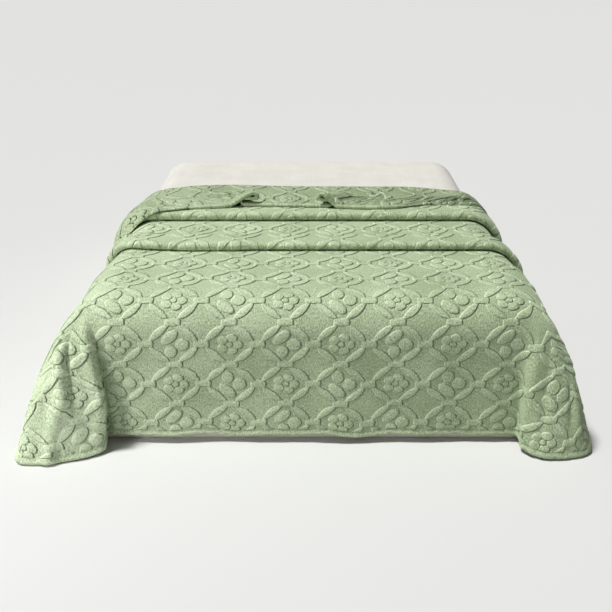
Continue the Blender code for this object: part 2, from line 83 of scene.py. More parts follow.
# %% Stand the camera where the photograph was taken
PHOTO_PIXELS = 612
FOCAL_PIXELS = 880
SENSOR_WIDTH = 36.0
CAMERA_HEIGHT = 1.57
CAMERA_FROM_FOOT = 2.51
CAMERA_ASIDE = -0.0175
CAMERA_DOWN = math.radians(23.4)

mattress_low, mattress_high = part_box("mattress")
FOOT_Y = mattress_low.y


def put(name, data):
    """Add an object to the scene, with its mesh, lamp or camera."""
    made = bpy.data.objects.new(name, data)
    bpy.context.scene.collection.objects.link(made)
    return made


camera_data = bpy.data.cameras.new("camera")
camera_data.sensor_width = SENSOR_WIDTH
camera_data.lens = SENSOR_WIDTH * FOCAL_PIXELS / PHOTO_PIXELS
camera = put("camera", camera_data)
camera.location = (CAMERA_ASIDE, FOOT_Y - CAMERA_FROM_FOOT, CAMERA_HEIGHT)
camera.rotation_euler = (math.pi / 2 - CAMERA_DOWN, 0.0, 0.0)
bpy.context.scene.camera = camera
print(f"lens {camera_data.lens:.1f} mm")

# %% [markdown]
# ## The sizes of the cloth
#
# A blanket is one flat piece of cloth, so every point on it has a place across it and a place along it, in
# metres. Draping changes where that point is in the room, but not those two numbers. The drape below is a
# rule that turns the two numbers into a place in the room. It repeats the folds that the frame's solid was
# made from, so the fine cloth lies exactly where the plain one does.

# %% Sizes that the drape is worked out from
BED_WIDTH = mattress_high.x - mattress_low.x
SEAT_GAP = 0.0003
THICKNESS = 0.008
CLEARANCE = 0.0045
CLOTH_WIDTH = 2.00

EDGE_BEND = 0.108
LIE = mattress_high.z + SEAT_GAP + THICKNESS / 2
BEND = EDGE_BEND + CLEARANCE + THICKNESS / 2
FLAT_X = BED_WIDTH / 2 - EDGE_BEND
FOOT_DROP = 0.533
SIDE_FLARE = math.radians(2.0)
QUARTER_HANDLE = 0.5523

CONE_REACH = 0.034
CONE_REACH_END = 0.25
CONE_REACH_FADE = 0.35
CORNER_X = FLAT_X + CONE_REACH
SIDE_DROP = CLOTH_WIDTH / 2 - CORNER_X
print(f"the cloth lies at {LIE:.4f} and its sides hang {SIDE_DROP:.3f}")

# %% Sizes of the pleats, the turned-back layer and its S-folds
LIPS = (0.465, 0.812)
LIP_TURNS = (0.009, 0.011)
PLEAT_OVERLAPS = (0.0675, 0.085)
PLEAT_LENGTH = 0.150
PLEAT_CLEAR = 0.56
HIDDEN_TURN = 0.006
LAYER = 0.012
LOOSE_LAYER = 0.016
OFF_LIP = 0.004
OFF_LIP_FALL = 0.050
HEM_DROOP = 0.075

PINCH_TURN = 0.013
PINCH_REACH = 0.15
PINCH_LEAST_RUN = 0.012
PINCH_OPEN = 0.20
PINCH_CLOSED = 0.75
PINCH_RUN_STARTS = 0.60
PINCH_FLATTENED = 0.62
STRIP_ENDS = (-0.2665, 0.0765)
OVERLAPS = (0.045, 0.032)
RISE_WIDTHS = (0.11, 0.06)

MIDDLE_HEM = 0.875
BACK_FOLD = 1.085
ACROSS_COLUMNS = ("across", "pleat_1_drift", "hem_from_foot", "back_turn")
ACROSS = (
    (-1.00, 0.085, 0.725, 0.012),
    (-0.88, 0.094, 0.742, 0.012),
    (-0.80, 0.095, 0.766, 0.012),
    (-0.72, 0.060, 0.802, 0.016),
    (-0.64, 0.022, 0.838, 0.024),
    (-0.52, 0.00, 0.862, 0.031),
    (-0.36, 0.00, 0.885, 0.033),
    (-0.10, 0.00, 0.875, 0.031),
    (0.20, 0.00, 0.862, 0.031),
    (0.45, 0.00, 0.852, 0.030),
    (0.58, 0.00, 0.900, 0.021),
    (0.70, 0.00, 0.965, 0.014),
    (1.00, 0.00, 1.010, 0.012),
)
print("pleats at", LIPS, "and the back fold at", BACK_FOLD, "metres from the foot")

# %% The cones at the foot corners, one row for each line of cloth from the bed's corner to the hem
CONE_COLUMNS = ("angle", "shoulder_out", "shoulder_fwd", "shoulder_down", "hem_x", "hem_fwd", "hem_z", "bow")
LEFT_CONE = (
    (0.0, 0.0000, 0.1165, 0.1165, 0.646, 0.0085, 0.0300, 0.000),
    (3.1, 0.0110, 0.1160, 0.1165, 0.675, 0.006, 0.029, 0.000),
    (7.0, 0.0230, 0.1170, 0.1165, 0.674, 0.045, 0.024, 0.000),
    (10.9, 0.0330, 0.1215, 0.1160, 0.675, 0.083, 0.014, 0.002),
    (15.3, 0.0480, 0.1250, 0.1160, 0.710, 0.109, 0.009, 0.006),
    (20.6, 0.0670, 0.1290, 0.1150, 0.766, 0.130, 0.007, 0.013),
    (26.4, 0.0900, 0.1310, 0.1130, 0.834, 0.146, 0.006, 0.022),
    (33.6, 0.1160, 0.1290, 0.1110, 0.926, 0.146, 0.006, 0.028),
    (42.0, 0.1370, 0.1180, 0.1090, 0.942, 0.066, 0.022, 0.026),
    (50.0, 0.1470, 0.1000, 0.1080, 0.934, -0.006, 0.058, 0.021),
    (58.0, 0.1470, 0.0780, 0.1100, 0.904, -0.054, 0.104, 0.014),
    (66.0, 0.1420, 0.0560, 0.1130, 0.864, -0.060, 0.144, 0.007),
    (74.0, 0.1330, 0.0370, 0.1150, 0.826, -0.040, 0.174, 0.002),
    (82.0, 0.1240, 0.0180, 0.1165, 0.796, -0.058, 0.196, 0.000),
    (90.0, 0.1165, 0.0000, 0.1165, 0.7685, -0.108, 0.2091, 0.000),
)
RIGHT_CONE = (
    (0.0, 0.0000, 0.1165, 0.1165, 0.646, 0.0085, 0.0300, 0.000),
    (3.6, 0.0110, 0.1165, 0.1165, 0.677, 0.012, 0.028, 0.000),
    (7.6, 0.0240, 0.1170, 0.1165, 0.687, 0.050, 0.024, 0.000),
    (12.4, 0.0390, 0.1200, 0.1160, 0.699, 0.096, 0.014, 0.004),
    (17.4, 0.0550, 0.1245, 0.1160, 0.740, 0.120, 0.009, 0.008),
    (22.4, 0.0700, 0.1280, 0.1150, 0.790, 0.122, 0.007, 0.014),
    (27.8, 0.0860, 0.1290, 0.1140, 0.846, 0.112, 0.006, 0.019),
    (33.6, 0.1030, 0.1270, 0.1130, 0.889, 0.092, 0.007, 0.022),
    (42.0, 0.1190, 0.1160, 0.1120, 0.905, 0.030, 0.030, 0.020),
    (50.0, 0.1290, 0.0980, 0.1120, 0.894, -0.030, 0.068, 0.015),
    (58.0, 0.1310, 0.0770, 0.1130, 0.867, -0.064, 0.112, 0.010),
    (66.0, 0.1280, 0.0550, 0.1150, 0.836, -0.064, 0.148, 0.005),
    (74.0, 0.1230, 0.0360, 0.1160, 0.808, -0.046, 0.175, 0.001),
    (82.0, 0.1180, 0.0180, 0.1165, 0.788, -0.062, 0.196, 0.000),
    (90.0, 0.1165, 0.0000, 0.1165, 0.7685, -0.108, 0.2091, 0.000),
)
print("cones of", len(LEFT_CONE), "lines each")

# %% [markdown]
# ## Sums that work on arrays and on fields
#
# The same formulas have to move the points of the mesh and to fill in, in a material, what is finer than the
# mesh. So each is written once, with sums that work on two kinds of numbers: arrays of points, and fields
# inside a material. A field is an output of a node, and each sum on it adds a math node.

# %% Add a node, and do sums on fields
def add_node(tree, kind, settings=None, links=None):
    """Add a node, give it its settings, and link its inputs."""
    node = tree.nodes.new(kind)
    for name, value in (settings or {}).items():
        if isinstance(name, int) or name in node.inputs:
            node.inputs[name].default_value = value
        else:
            setattr(node, name, value)
    for name, socket in (links or {}).items():
        tree.links.new(socket, node.inputs[name])
    return node


class Field:
    """A number that changes over a surface: the output of a node in a material."""

    def __init__(self, tree, socket):
        self.tree = tree
        self.socket = socket

    def __add__(self, other):
        return work("ADD", self, other)

    def __radd__(self, other):
        return work("ADD", other, self)

    def __sub__(self, other):
        return work("SUBTRACT", self, other)

    def __rsub__(self, other):
        return work("SUBTRACT", other, self)

    def __mul__(self, other):
        return work("MULTIPLY", self, other)

    def __rmul__(self, other):
        return work("MULTIPLY", other, self)

    def __truediv__(self, other):
        return work("DIVIDE", self, other)


ON_ARRAYS = {
    "ADD": np.add, "SUBTRACT": np.subtract, "MULTIPLY": np.multiply, "DIVIDE": np.divide,
    "MINIMUM": np.minimum, "MAXIMUM": np.maximum, "ABSOLUTE": np.abs, "FLOOR": np.floor,
    "SQRT": np.sqrt, "EXPONENT": np.exp, "ARCTAN2": np.arctan2, "SINE": np.sin, "COSINE": np.cos,
}


def work(kind, *values):
    """A sum on arrays, or the math node for it on fields."""
    fields = [value for value in values if isinstance(value, Field)]
    if not fields:
        return ON_ARRAYS[kind](*values)
    tree = fields[0].tree
    links = {index: value.socket for index, value in enumerate(values) if isinstance(value, Field)}
    numbers = {index: float(value) for index, value in enumerate(values) if index not in links}
    node = add_node(tree, "ShaderNodeMath", {"operation": kind, **numbers}, links)
    return Field(tree, node.outputs[0])


def within(value):
    """Keep a number from 0 to 1."""
    return work("MINIMUM", work("MAXIMUM", value, 0.0), 1.0)


def ease(value):
    """0 below 0, 1 above 1, and a soft step between."""
    clipped = within(value)
    return clipped * clipped * (3.0 - 2.0 * clipped)


def bell(value):
    """1 where the value is 0, falling away softly on both sides."""
    return work("EXPONENT", 0.0 - value * value)


def diagonal(aside, up):
    """The straight distance to a place so far aside and so far up."""
    return work("SQRT", aside * aside + up * up)


print("sums on arrays and on fields:", ", ".join(sorted(ON_ARRAYS)).lower())

# %% [markdown]
# ## Smooth helpers
#
# Cloth has no sudden corners, so tables are read on a smooth curve. Everything here works on whole arrays of
# places at once, which keeps a grid of seventy-five thousand points quick.

# %% Read a table, make lengths one, and measure along a line
def through(table, column_names, column, at):
    """Read one column of a table at any places along its first column, on a smooth curve."""
    rows = np.array(table, dtype=float)
    known = rows[:, 0]
    values = rows[:, column_names.index(column)]
    slopes = np.gradient(values, known)
    place = np.clip(np.asarray(at, dtype=float), known[0], known[-1])
    index = np.clip(np.searchsorted(known, place, side="right") - 1, 0, len(known) - 2)
    span = known[index + 1] - known[index]
    part = (place - known[index]) / span
    square = part * part
    cube = square * part
    return (
        (2 * cube - 3 * square + 1) * values[index]
        + (cube - 2 * square + part) * span * slopes[index]
        + (3 * square - 2 * cube) * values[index + 1]
        + (cube - square) * span * slopes[index + 1]
    )


def unit(vectors):
    """Vectors of length one."""
    return vectors / np.linalg.norm(vectors, axis=-1, keepdims=True)


def beside_line(x, y, start, end):
    """How far places lie forward along a line and aside from it, and how long the line is."""
    run_x = end[0] - start[0]
    run_y = end[1] - start[1]
    length = math.hypot(run_x, run_y)
    forward = ((x - start[0]) * run_x + (y - start[1]) * run_y) / length
    aside = ((x - start[0]) * run_y - (y - start[1]) * run_x) / length
    return forward, aside, length


middle_hem = float(through(ACROSS, ACROSS_COLUMNS, "hem_from_foot", 0.0))
print(f"the turned-back hem lies {middle_hem:.3f} from the foot in the middle")

# %% [markdown]
# ## The corner cones
#
# Where cloth falls over two edges at once there is too much of it, and the extra stands out in a cone. Each
# straight line of the cloth from the bed's corner to the hem bends over the corner and then falls, bowed a
# little by its own weight. Two cubic curves draw such a line, and a table says where its hem lands.

# %% Draw the lines of a cone
CONE_LINE_STEPS = 48
# how strongly a line's bow bends its start, and the share of that at the hem
BOW_AT_START = 4.0
BOW_LEFT_AT_HEM = 0.5
NEARLY_NONE = 1e-6


def bezier(points, part):
    """A point on a cubic curve, each of its four control points an array of places."""
    rest = 1.0 - part
    weights = (rest ** 3, 3 * rest * rest * part, 3 * rest * part * part, part ** 3)
    return sum(weight[..., None] * point for weight, point in zip(weights, points))


def cone_line(table, angle, share):
    """Points on a cone's lines, by angle in degrees and share along: (out, forward, up) from the corner."""
    column = {name: through(table, CONE_COLUMNS, name, angle) for name in CONE_COLUMNS[1:]}
    turn = np.radians(angle)
    nothing = np.zeros_like(turn)
    start = np.zeros((turn.size, 3))
    along = np.stack([np.sin(turn), np.cos(turn), nothing], axis=-1)
    shoulder = np.stack([column["shoulder_out"], column["shoulder_fwd"], -column["shoulder_down"]], axis=-1)
    hem = np.stack(
        [column["hem_x"] - CORNER_X, column["hem_fwd"] + EDGE_BEND, column["hem_z"] - LIE], axis=-1
    )
    outward = unit(np.stack([hem[..., 0], hem[..., 1], nothing], axis=-1))
    reach = np.linalg.norm(hem - shoulder, axis=-1, keepdims=True)
    bow = outward * column["bow"][..., None] * BOW_AT_START
    leave = unit(hem - shoulder + bow)
    arrive = unit(hem - shoulder - bow * BOW_LEFT_AT_HEM)
    round_part = QUARTER_HANDLE * BEND
    upper = (start, along * round_part, shoulder - leave * round_part, shoulder)
    # handles a third of the reach long keep the points evenly spaced
    lower = (shoulder, shoulder + leave * reach / 3, hem - arrive * reach / 3, hem)
    shares = np.linspace(0.0, 1.0, CONE_LINE_STEPS + 1)
    line = [bezier(upper, np.full_like(turn, part)) for part in shares[:-1]]
    line += [bezier(lower, np.full_like(turn, part)) for part in shares]
    line = np.stack(line, axis=0)
    lengths = np.linalg.norm(np.diff(line, axis=0), axis=-1)
    travelled = np.concatenate([np.zeros((1, turn.size)), np.cumsum(lengths, axis=0)], axis=0)
    wanted = share * travelled[-1]
    found = np.empty((turn.size, 3))
    for item in range(turn.size):
        for axis in range(3):
            found[item, axis] = np.interp(wanted[item], travelled[:, item], line[:, item, axis])
    return found


def corner_cloth(table, beyond_side, beyond_foot):
    """The cloth past both edges of the flat: (out, forward, up) from the bed's corner point."""
    angle = np.degrees(np.arctan2(beyond_side, beyond_foot))
    away = np.hypot(beyond_side, beyond_foot)
    to_foot_hem = FOOT_DROP / np.maximum(np.cos(np.radians(angle)), NEARLY_NONE)
    to_side_hem = SIDE_DROP / np.maximum(np.sin(np.radians(angle)), NEARLY_NONE)
    return cone_line(table, angle, away / np.minimum(to_foot_hem, to_side_hem))


widest = max(row[CONE_COLUMNS.index("hem_x")] for row in LEFT_CONE)
print(f"the left cone's hem stands up to {widest - BED_WIDTH / 2:.3f} out from the bed")

# %% [markdown]
# ## Over the edges, with soft waves
#
# Away from the corners the cloth bends round the mattress's edge on an arc and then hangs. Plush is stiff,
# so a hanging edge waves only a little, and the waves grow towards the hem.

# %% Bend over an edge and wave
FOOT_WAVES = ((0.004, 9.0, 0.6), (0.003, 23.0, -1.0), (0.005, 0.0, math.pi / 2))
HEM_WAVES = ((0.003, 17.0, 2.2), (0.003, 31.0, 0.0))
SIDE_WAVES = ((0.006, 11.0, 0.0), (0.004, 19.0, 1.3), (0.006, 0.0, math.pi / 2))
WAVES_END = 0.50
WAVES_FADE = 0.14
SIDE_WAVES_START = 0.16
SIDE_WAVES_FADE = 0.20


def over_edge(beyond, height, flare):
    """The cloth bending over an edge of the bed: (out, up) from where the flat ends."""
    radius = BEND + height
    whole = math.pi / 2 - flare
    bent = np.minimum(beyond / radius, whole)
    hanging = np.maximum(beyond - radius * whole, 0.0)
    out = radius * np.sin(bent) + hanging * math.sin(flare)
    up = radius * (np.cos(bent) - 1.0) - hanging * math.cos(flare)
    return out, up + height


def waves(table, place):
    """The sum of a table's waves, each (height, radians a metre, phase), at a place."""
    return sum(height * np.sin(turns * place + phase) for height, turns, phase in table)


def between_cones(across):
    """1 on the foot drop between the cones, fading to 0 towards them."""
    return 1.0 - ease((np.abs(across) - WAVES_END) / WAVES_FADE)


def foot_wave(across, share):
    """How far the foot drop stands off the bed, growing towards the hem."""
    return waves(FOOT_WAVES, across) * share ** 2 * between_cones(across)


def hem_wave(across):
    """How far the foot hem rises above its usual height."""
    return waves(HEM_WAVES, across) * between_cones(across)


def flat_half(along):
    """Half the width over which the cloth lies flat, wider near the foot."""
    return FLAT_X + CONE_REACH * (1.0 - ease((along - CONE_REACH_END) / CONE_REACH_FADE))


def side_wave(along, beyond):
    """How far the side drops wave off the bed."""
    fade = ease((along - SIDE_WAVES_START) / SIDE_WAVES_FADE)
    return waves(SIDE_WAVES, along) * (beyond / SIDE_DROP) ** 2 * fade


hem_sway = foot_wave(np.linspace(-WAVES_END, WAVES_END), 1.0)
print(f"the foot hem sways from {hem_sway.min():.4f} to {hem_sway.max():.4f}")

# %% [markdown]
# ## The pleats and the turned-back layer
#
# Seen from the side, the cloth on top of the bed is one back-and-forth line: along the bed, under a lip,
# back, round the lip and along again, twice, and then round the back fold to the turned-back hem. Each piece
# of that line is a named stretch. A stretch gives a row of the cloth its place from the foot and its height,
# for every place across at once, so the folds can drift from side to side as they do on a real bed.

# %% Find a row of the cloth on top of the bed
def lip_place(pleat, across):
    """How far from the foot a pleat's lip lies."""
    drift = through(ACROSS, ACROSS_COLUMNS, "pleat_1_drift", across)
    return LIPS[pleat] + (drift if pleat == 0 else 0.0 * drift)


def half_turn(centre, bottom, radius, share, heading):
    """A half turn of the line, up and back: heading 1 comes from the foot, -1 from the head."""
    swing = math.pi * (share - 0.5)
    return centre + heading * radius * math.cos(swing), bottom + radius * (1.0 + math.sin(swing))


def pleat_row(stretch, pleat, share, across):
    """(from foot, height) of a row in one of the stretches of a pleat."""
    start = EDGE_BEND if pleat == 0 else lip_place(0, across) + PLEAT_LENGTH
    lip = lip_place(pleat, across)
    hidden = lip + PLEAT_OVERLAPS[pleat]
    top = 2 * (HIDDEN_TURN + LIP_TURNS[pleat])
    level = np.zeros_like(across)
    if stretch == "flat":
        return start + (lip - start) * share, level
    if stretch == "under":
        return lip + (hidden - lip) * share, level
    if stretch == "hidden turn":
        return half_turn(hidden, level, HIDDEN_TURN, share, 1)
    if stretch == "return":
        return hidden + (lip - hidden) * share, level + LAYER
    if stretch == "lip":
        return half_turn(lip, level + LAYER, LIP_TURNS[pleat], share, -1)
    fall = 1.0 - ease((share - PLEAT_CLEAR) / (1.0 - PLEAT_CLEAR))
    return lip + PLEAT_LENGTH * share, level + top * fall


def back_row(stretch, share, across):
    """(from foot, height) of a row past the second pleat, round the back fold or on the turned-back layer."""
    hem = through(ACROSS, ACROSS_COLUMNS, "hem_from_foot", across)
    back_turn = through(ACROSS, ACROSS_COLUMNS, "back_turn", across)
    back = BACK_FOLD + (hem - MIDDLE_HEM) / 2
    rest = LIPS[1] + PLEAT_LENGTH
    if stretch == "to the back":
        return rest + (back - rest) * share, np.zeros_like(across)
    if stretch == "back fold":
        return half_turn(back, 0.0, back_turn, share, 1)
    pleat_top = 2 * (HIDDEN_TURN + LIP_TURNS[1])
    over_lip = pleat_top + LOOSE_LAYER
    spot = back + (hem - back) * share
    over_pleat = LIPS[1] + PLEAT_OVERLAPS[1]
    ahead = ease((spot - over_pleat) / (back - over_pleat))
    lift = over_lip + (2 * back_turn - over_lip) * ahead
    on_pleat = 1.0 - ease((LIPS[1] - OFF_LIP - spot) / OFF_LIP_FALL)
    past_lip = np.maximum(spot - LIPS[1], 0.0) / PLEAT_LENGTH
    settled = 1.0 - ease((past_lip - PLEAT_CLEAR) / (1.0 - PLEAT_CLEAR))
    resting = LAYER + pleat_top * settled * on_pleat
    loose = ease((spot - hem) / HEM_DROOP) * on_pleat
    return spot, resting + (lift - resting) * loose


middle_lip = pleat_row("lip", 1, 1.0, np.zeros(1))
print(f"the second lip's top is {middle_lip[1][0]:.3f} above the cloth under it")

# %% [markdown]
# ## The S-folds
#
# Someone has pinched the turned-back layer in two places, so that its hem runs over, under and over again
# like a letter S. Across the cloth that is two half turns with a short run between them. The turns open and
# fade out away from the hem. The columns of the grid follow them, so the fold keeps its length of cloth.

# %% Place the columns of a row, with their S-folds
STRIP_STEPS = 44
PINCH_TURN_STEPS = 7
PINCH_RUN_STEPS = 5
OUTER_STEPS = (36, 60)
SIDE_STEPS = 46
TURN_SLICES = 12
SHIFT_LOST_BY_THE_EDGE = 0.5


def half_columns(closeness, side):
    """Columns from the middle strip to the side edge: cloth place, sideways place and lift."""
    swing = math.pi * float(ease((closeness - PINCH_OPEN) / (PINCH_CLOSED - PINCH_OPEN)))
    run_share = (closeness - PINCH_RUN_STARTS) / (1.0 - PINCH_RUN_STARTS)
    run = max(OVERLAPS[side] * float(within(run_share)), PINCH_LEAST_RUN)
    kept = 1.0 - PINCH_FLATTENED * (1.0 - float(ease(run_share)))
    turn_length = math.pi * PINCH_TURN
    cloth = [abs(STRIP_ENDS[side])]
    place = [abs(STRIP_ENDS[side])]
    lift = [0.0]
    stops = (
        (turn_length, 0.0, 1.0, PINCH_TURN_STEPS),
        (run, 1.0, 1.0, PINCH_RUN_STEPS),
        (turn_length, 1.0, 0.0, PINCH_TURN_STEPS),
    )
    for length, bend_from, bend_to, steps in stops:
        for step in range(steps):
            part = (step + (np.arange(TURN_SLICES) + 0.5) / TURN_SLICES) / steps
            angle = swing * (bend_from + (bend_to - bend_from) * part)
            cloth.append(cloth[-1] + length / steps)
            place.append(place[-1] + length / steps * float(np.mean(np.cos(angle))))
            lift.append(lift[-1] + length / steps * float(np.mean(np.sin(angle))) * kept)
    fold_end = cloth[-1]
    outer = np.concatenate([
        np.linspace(fold_end, CORNER_X, OUTER_STEPS[side] + 1)[1:],
        np.linspace(CORNER_X, CLOTH_WIDTH / 2, SIDE_STEPS + 1)[1:],
    ])
    settled = 1.0 - SHIFT_LOST_BY_THE_EDGE * ease((outer - fold_end) / (CLOTH_WIDTH / 2 - fold_end))
    fall = 1.0 - ease((outer - fold_end) / RISE_WIDTHS[side])
    shift = place[-1] - fold_end
    return (
        np.concatenate([cloth, outer]),
        np.concatenate([place, outer + shift * settled]),
        np.concatenate([lift, lift[-1] * fall]),
    )


def columns(closeness):
    """All columns of a row from the left edge to the right: cloth place, sideways place and lift."""
    left = half_columns(closeness, 0)
    right = half_columns(closeness, 1)
    between = np.linspace(*STRIP_ENDS, STRIP_STEPS + 1)[1:-1]
    parts = zip((-1.0, -1.0, 1.0), left, (between, between, 0.0 * between), right)
    return [np.concatenate([sign * before[::-1], inner, after]) for sign, before, inner, after in parts]


COLUMN_COUNT = len(columns(0.0)[0])
print(f"{COLUMN_COUNT} columns, and the left S-fold stands {columns(1.0)[2].max():.3f} high")

# %% [markdown]
# ## The crumpled right side of the turned-back layer
#
# On the right, a hand has dragged the layer into one sharp diagonal ridge with a soft hollow beside it. It is
# a ridge across one line and a trough across a line next to it, both faded at their ends.

# %% Raise the diagonal ridge
RIDGE_START = (0.245, 0.87)
RIDGE_END = (0.346, 1.10)
RIDGE_HEIGHT = 0.011
RIDGE_WIDTH = 0.016
RIDGE_FADE = 0.04
HOLLOW_DEPTH = 0.014
HOLLOW_WIDTH = 0.085
HOLLOW_FADE = 0.06
# where the hollow starts to fade in from the ridge's ends, in lengths of its fade
HOLLOW_FROM_START = 1.0
HOLLOW_FROM_END = 0.3


def flap_relief(place, spot):
    """How far the diagonal ridge and its hollow lift the turned-back layer."""
    forward, aside, length = beside_line(place, spot, RIDGE_START, RIDGE_END)
    ends = ease(forward / RIDGE_FADE + 0.5) * ease((length - forward) / RIDGE_FADE + 0.5)
    ridge = RIDGE_HEIGHT * bell(aside / RIDGE_WIDTH)
    hollow = HOLLOW_DEPTH * ease(-aside / RIDGE_FADE) * ease((aside + HOLLOW_WIDTH) / RIDGE_FADE)
    inner = ease(forward / HOLLOW_FADE - HOLLOW_FROM_START)
    inner = inner * ease((length - forward) / HOLLOW_FADE - HOLLOW_FROM_END)
    return ridge * ends - hollow * inner


ridge_middle = (np.array(RIDGE_START) + np.array(RIDGE_END)) / 2
print(f"the ridge is {flap_relief(*ridge_middle):.4f} high in its middle")

# %% [markdown]
# ## Drape the grid
#
# Rows run across the bed. Where a stretch shows, its rows are about 7 mm apart, and where it is hidden under
# a fold they are far apart, which keeps the mesh light. Each stretch shows one face of the cloth or none: the
# turned-back layer shows the cloth's other face.

# %% List the rows from the foot hem to the turned-back hem
PLEAT_STRETCHES = (
    # stretch, steps in the front pleat and in the back one
    ("flat", 48, 21),
    ("under", 3, 3),
    ("hidden turn", 4, 4),
    ("return", 3, 3),
    ("lip", 7, 8),
    ("settle", 20, 21),
)
STRETCHES_BEHIND = (("to the back", 12), ("back fold", 11), ("turned back", 34))
FOOT_STEPS = 72
HIDDEN_STRETCHES = ("under", "hidden turn", "return")
TURNED_CROWDING = 1.25

stretches = [("foot", None, FOOT_STEPS)]
for pleat in (0, 1):
    stretches += [(stretch, pleat, steps[pleat]) for stretch, *steps in PLEAT_STRETCHES]
stretches += [(stretch, None, steps) for stretch, steps in STRETCHES_BEHIND]
rows = [(stretch, pleat, step / steps) for stretch, pleat, steps in stretches for step in range(steps)]
rows.append(("turned back", None, 1.0))
print(len(rows), "rows")

# %% Drape each row
def foot_row(share, cloth):
    """A row on the foot drop, share 0 at the hem and 1 where the flat starts."""
    hang = 1.0 - share
    beyond_foot = FOOT_DROP * hang
    out, up = over_edge(np.full_like(cloth, beyond_foot), 0.0, 0.0)
    row = np.stack([
        cloth,
        FOOT_Y + EDGE_BEND - out - foot_wave(cloth, hang),
        LIE + up + hem_wave(cloth) * hang ** 2,
    ], axis=-1)
    for side, table in ((-1, LEFT_CONE), (1, RIGHT_CONE)):
        past = side * cloth > CORNER_X + NEARLY_NONE
        spots = corner_cloth(table, side * cloth[past] - CORNER_X, np.full(past.sum(), beyond_foot))
        row[past, 0] = side * (CORNER_X + spots[:, 0])
        row[past, 1] = FOOT_Y + EDGE_BEND - spots[:, 1]
        row[past, 2] = LIE + spots[:, 2]
    return row


def top_row(spot, height, place):
    """A row on top of the bed and down its sides, from where it lies from the foot and how high."""
    flat = flat_half(spot)
    beyond = np.maximum(np.abs(place) - flat, 0.0)
    out, up = over_edge(beyond, height, SIDE_FLARE)
    out = out + side_wave(spot, beyond)
    sideways = np.sign(place) * (np.minimum(np.abs(place), flat) + out)
    return np.stack([sideways, FOOT_Y + spot, LIE + up], axis=-1)


def drape():
    """The middle surface of the cloth, and the place across and along the cloth of each of its points."""
    middle = np.zeros((len(rows), COLUMN_COUNT, 3))
    across = np.zeros((len(rows), COLUMN_COUNT))
    along = np.zeros((len(rows), COLUMN_COUNT))
    last = None
    for index, (stretch, pleat, share) in enumerate(rows):
        if stretch == "foot":
            across[index] = columns(0.0)[0]
            along[index] = FOOT_DROP * share
            middle[index] = foot_row(share, across[index])
            continue
        closeness = 0.0
        if stretch == "turned back":
            share = 1.0 - (1.0 - share) ** TURNED_CROWDING
            closeness = max(1.0 - (BACK_FOLD - MIDDLE_HEM) * (1.0 - share) / PINCH_REACH, 0.0)
        cloth, place, lift = columns(closeness)
        if pleat is None:
            spot, height = back_row(stretch, share, cloth)
        else:
            spot, height = pleat_row(stretch, pleat, share, cloth)
        if last is None:
            along[index] = FOOT_DROP
        else:
            along[index] = along[index - 1] + np.hypot(spot - last[0], height - last[1])
        last = (spot, height)
        lifted = height + lift
        if closeness > 0.0:
            lifted = lifted + flap_relief(place, spot)
        middle[index] = top_row(spot, lifted, place)
        across[index] = cloth
    return middle, across, along


middle, across, along = drape()
CLOTH_LENGTH = float(along[-1, COLUMN_COUNT // 2])
print(f"the cloth is {CLOTH_WIDTH} by {CLOTH_LENGTH:.3f} and lies up to {middle[..., 2].max():.3f} high")

# %% [markdown]
# ## Distances to the carved forms
#
# The relief on this plush is carved: the pile is long on the leaves, the knots and the motifs, and clipped
# short round them. Each form is given as a distance: below zero inside it, above zero outside it. The nearest
# form is the smallest of the distances, and the height of the pile follows from it alone. A leaf is where two
# discs overlap. A disc's place and size come from the leaf's two tips and how far its side bulges.

# %% Measure to discs, leaves, ovals and rounded blocks
def disc(x, y, centre_x, centre_y, radius):
    """How far outside a disc a place is."""
    return diagonal(x - centre_x, y - centre_y) - radius


def side_disc(tip, other_tip, bulge, side):
    """The disc through a leaf's tips. Its edge bulges away from the ring's middle (side 1) or to it (-1)."""
    half = math.dist(tip, other_tip) / 2
    radius = (half * half + bulge * bulge) / (2 * bulge)
    outward = Vector((other_tip[1] - tip[1], tip[0] - other_tip[0])).normalized()
    centre = (Vector(tip) + Vector(other_tip)) / 2 - outward * side * (radius - bulge)
    return centre.x, centre.y, radius


def leaf(x, y, tip, other_tip, inner_bulge, outer_bulge):
    """How far outside a pointed leaf a place is."""
    outer = disc(x, y, *side_disc(tip, other_tip, outer_bulge, 1))
    inner = disc(x, y, *side_disc(tip, other_tip, inner_bulge, -1))
    return work("MAXIMUM", outer, inner)


def egg(x, y, centre_x, centre_y, half_long, half_wide, angle):
    """Roughly how far outside a slanted oval a place is."""
    aside = x - centre_x
    up = y - centre_y
    along_it = aside * (math.cos(angle) / half_long) + up * (math.sin(angle) / half_long)
    across_it = up * (math.cos(angle) / half_wide) - aside * (math.sin(angle) / half_wide)
    return (diagonal(along_it, across_it) - 1.0) * min(half_long, half_wide)


def block(x, y, centre_x, centre_y, half_x, half_y, rounding):
    """How far outside a block with rounded corners a place is."""
    aside = work("MAXIMUM", work("ABSOLUTE", x - centre_x) - (half_x - rounding), 0.0)
    up = work("MAXIMUM", work("ABSOLUTE", y - centre_y) - (half_y - rounding), 0.0)
    return diagonal(aside, up) - rounding


# %% [markdown]
# ## The lattice
#
# Rings touch at knots, in rows and columns. The photograph's rows on the foot drop give the pitch: a ring
# every 177 mm across and every 142 mm along. Every second ring holds a flower of three petals, and the
# others hold a rosette. The flowers are upside down in every second row.

# %% Lay out one ring of the lattice
PITCH_ACROSS = 0.1766
PITCH_ALONG = 0.1415
FIRST_RING_ACROSS = -0.0805
FIRST_RING_ALONG = 0.045

LEAF_TIPS = ((0.0775, 0.0075), (0.0120, 0.0620))
LEAF_BULGES = (0.0080, 0.0152)
LEAF_GAP = -0.0004
SIDE_KNOT = (0.0240, 0.0115)
END_KNOT = (0.0245, 0.0110)
KNOT_ROUNDING = 0.007

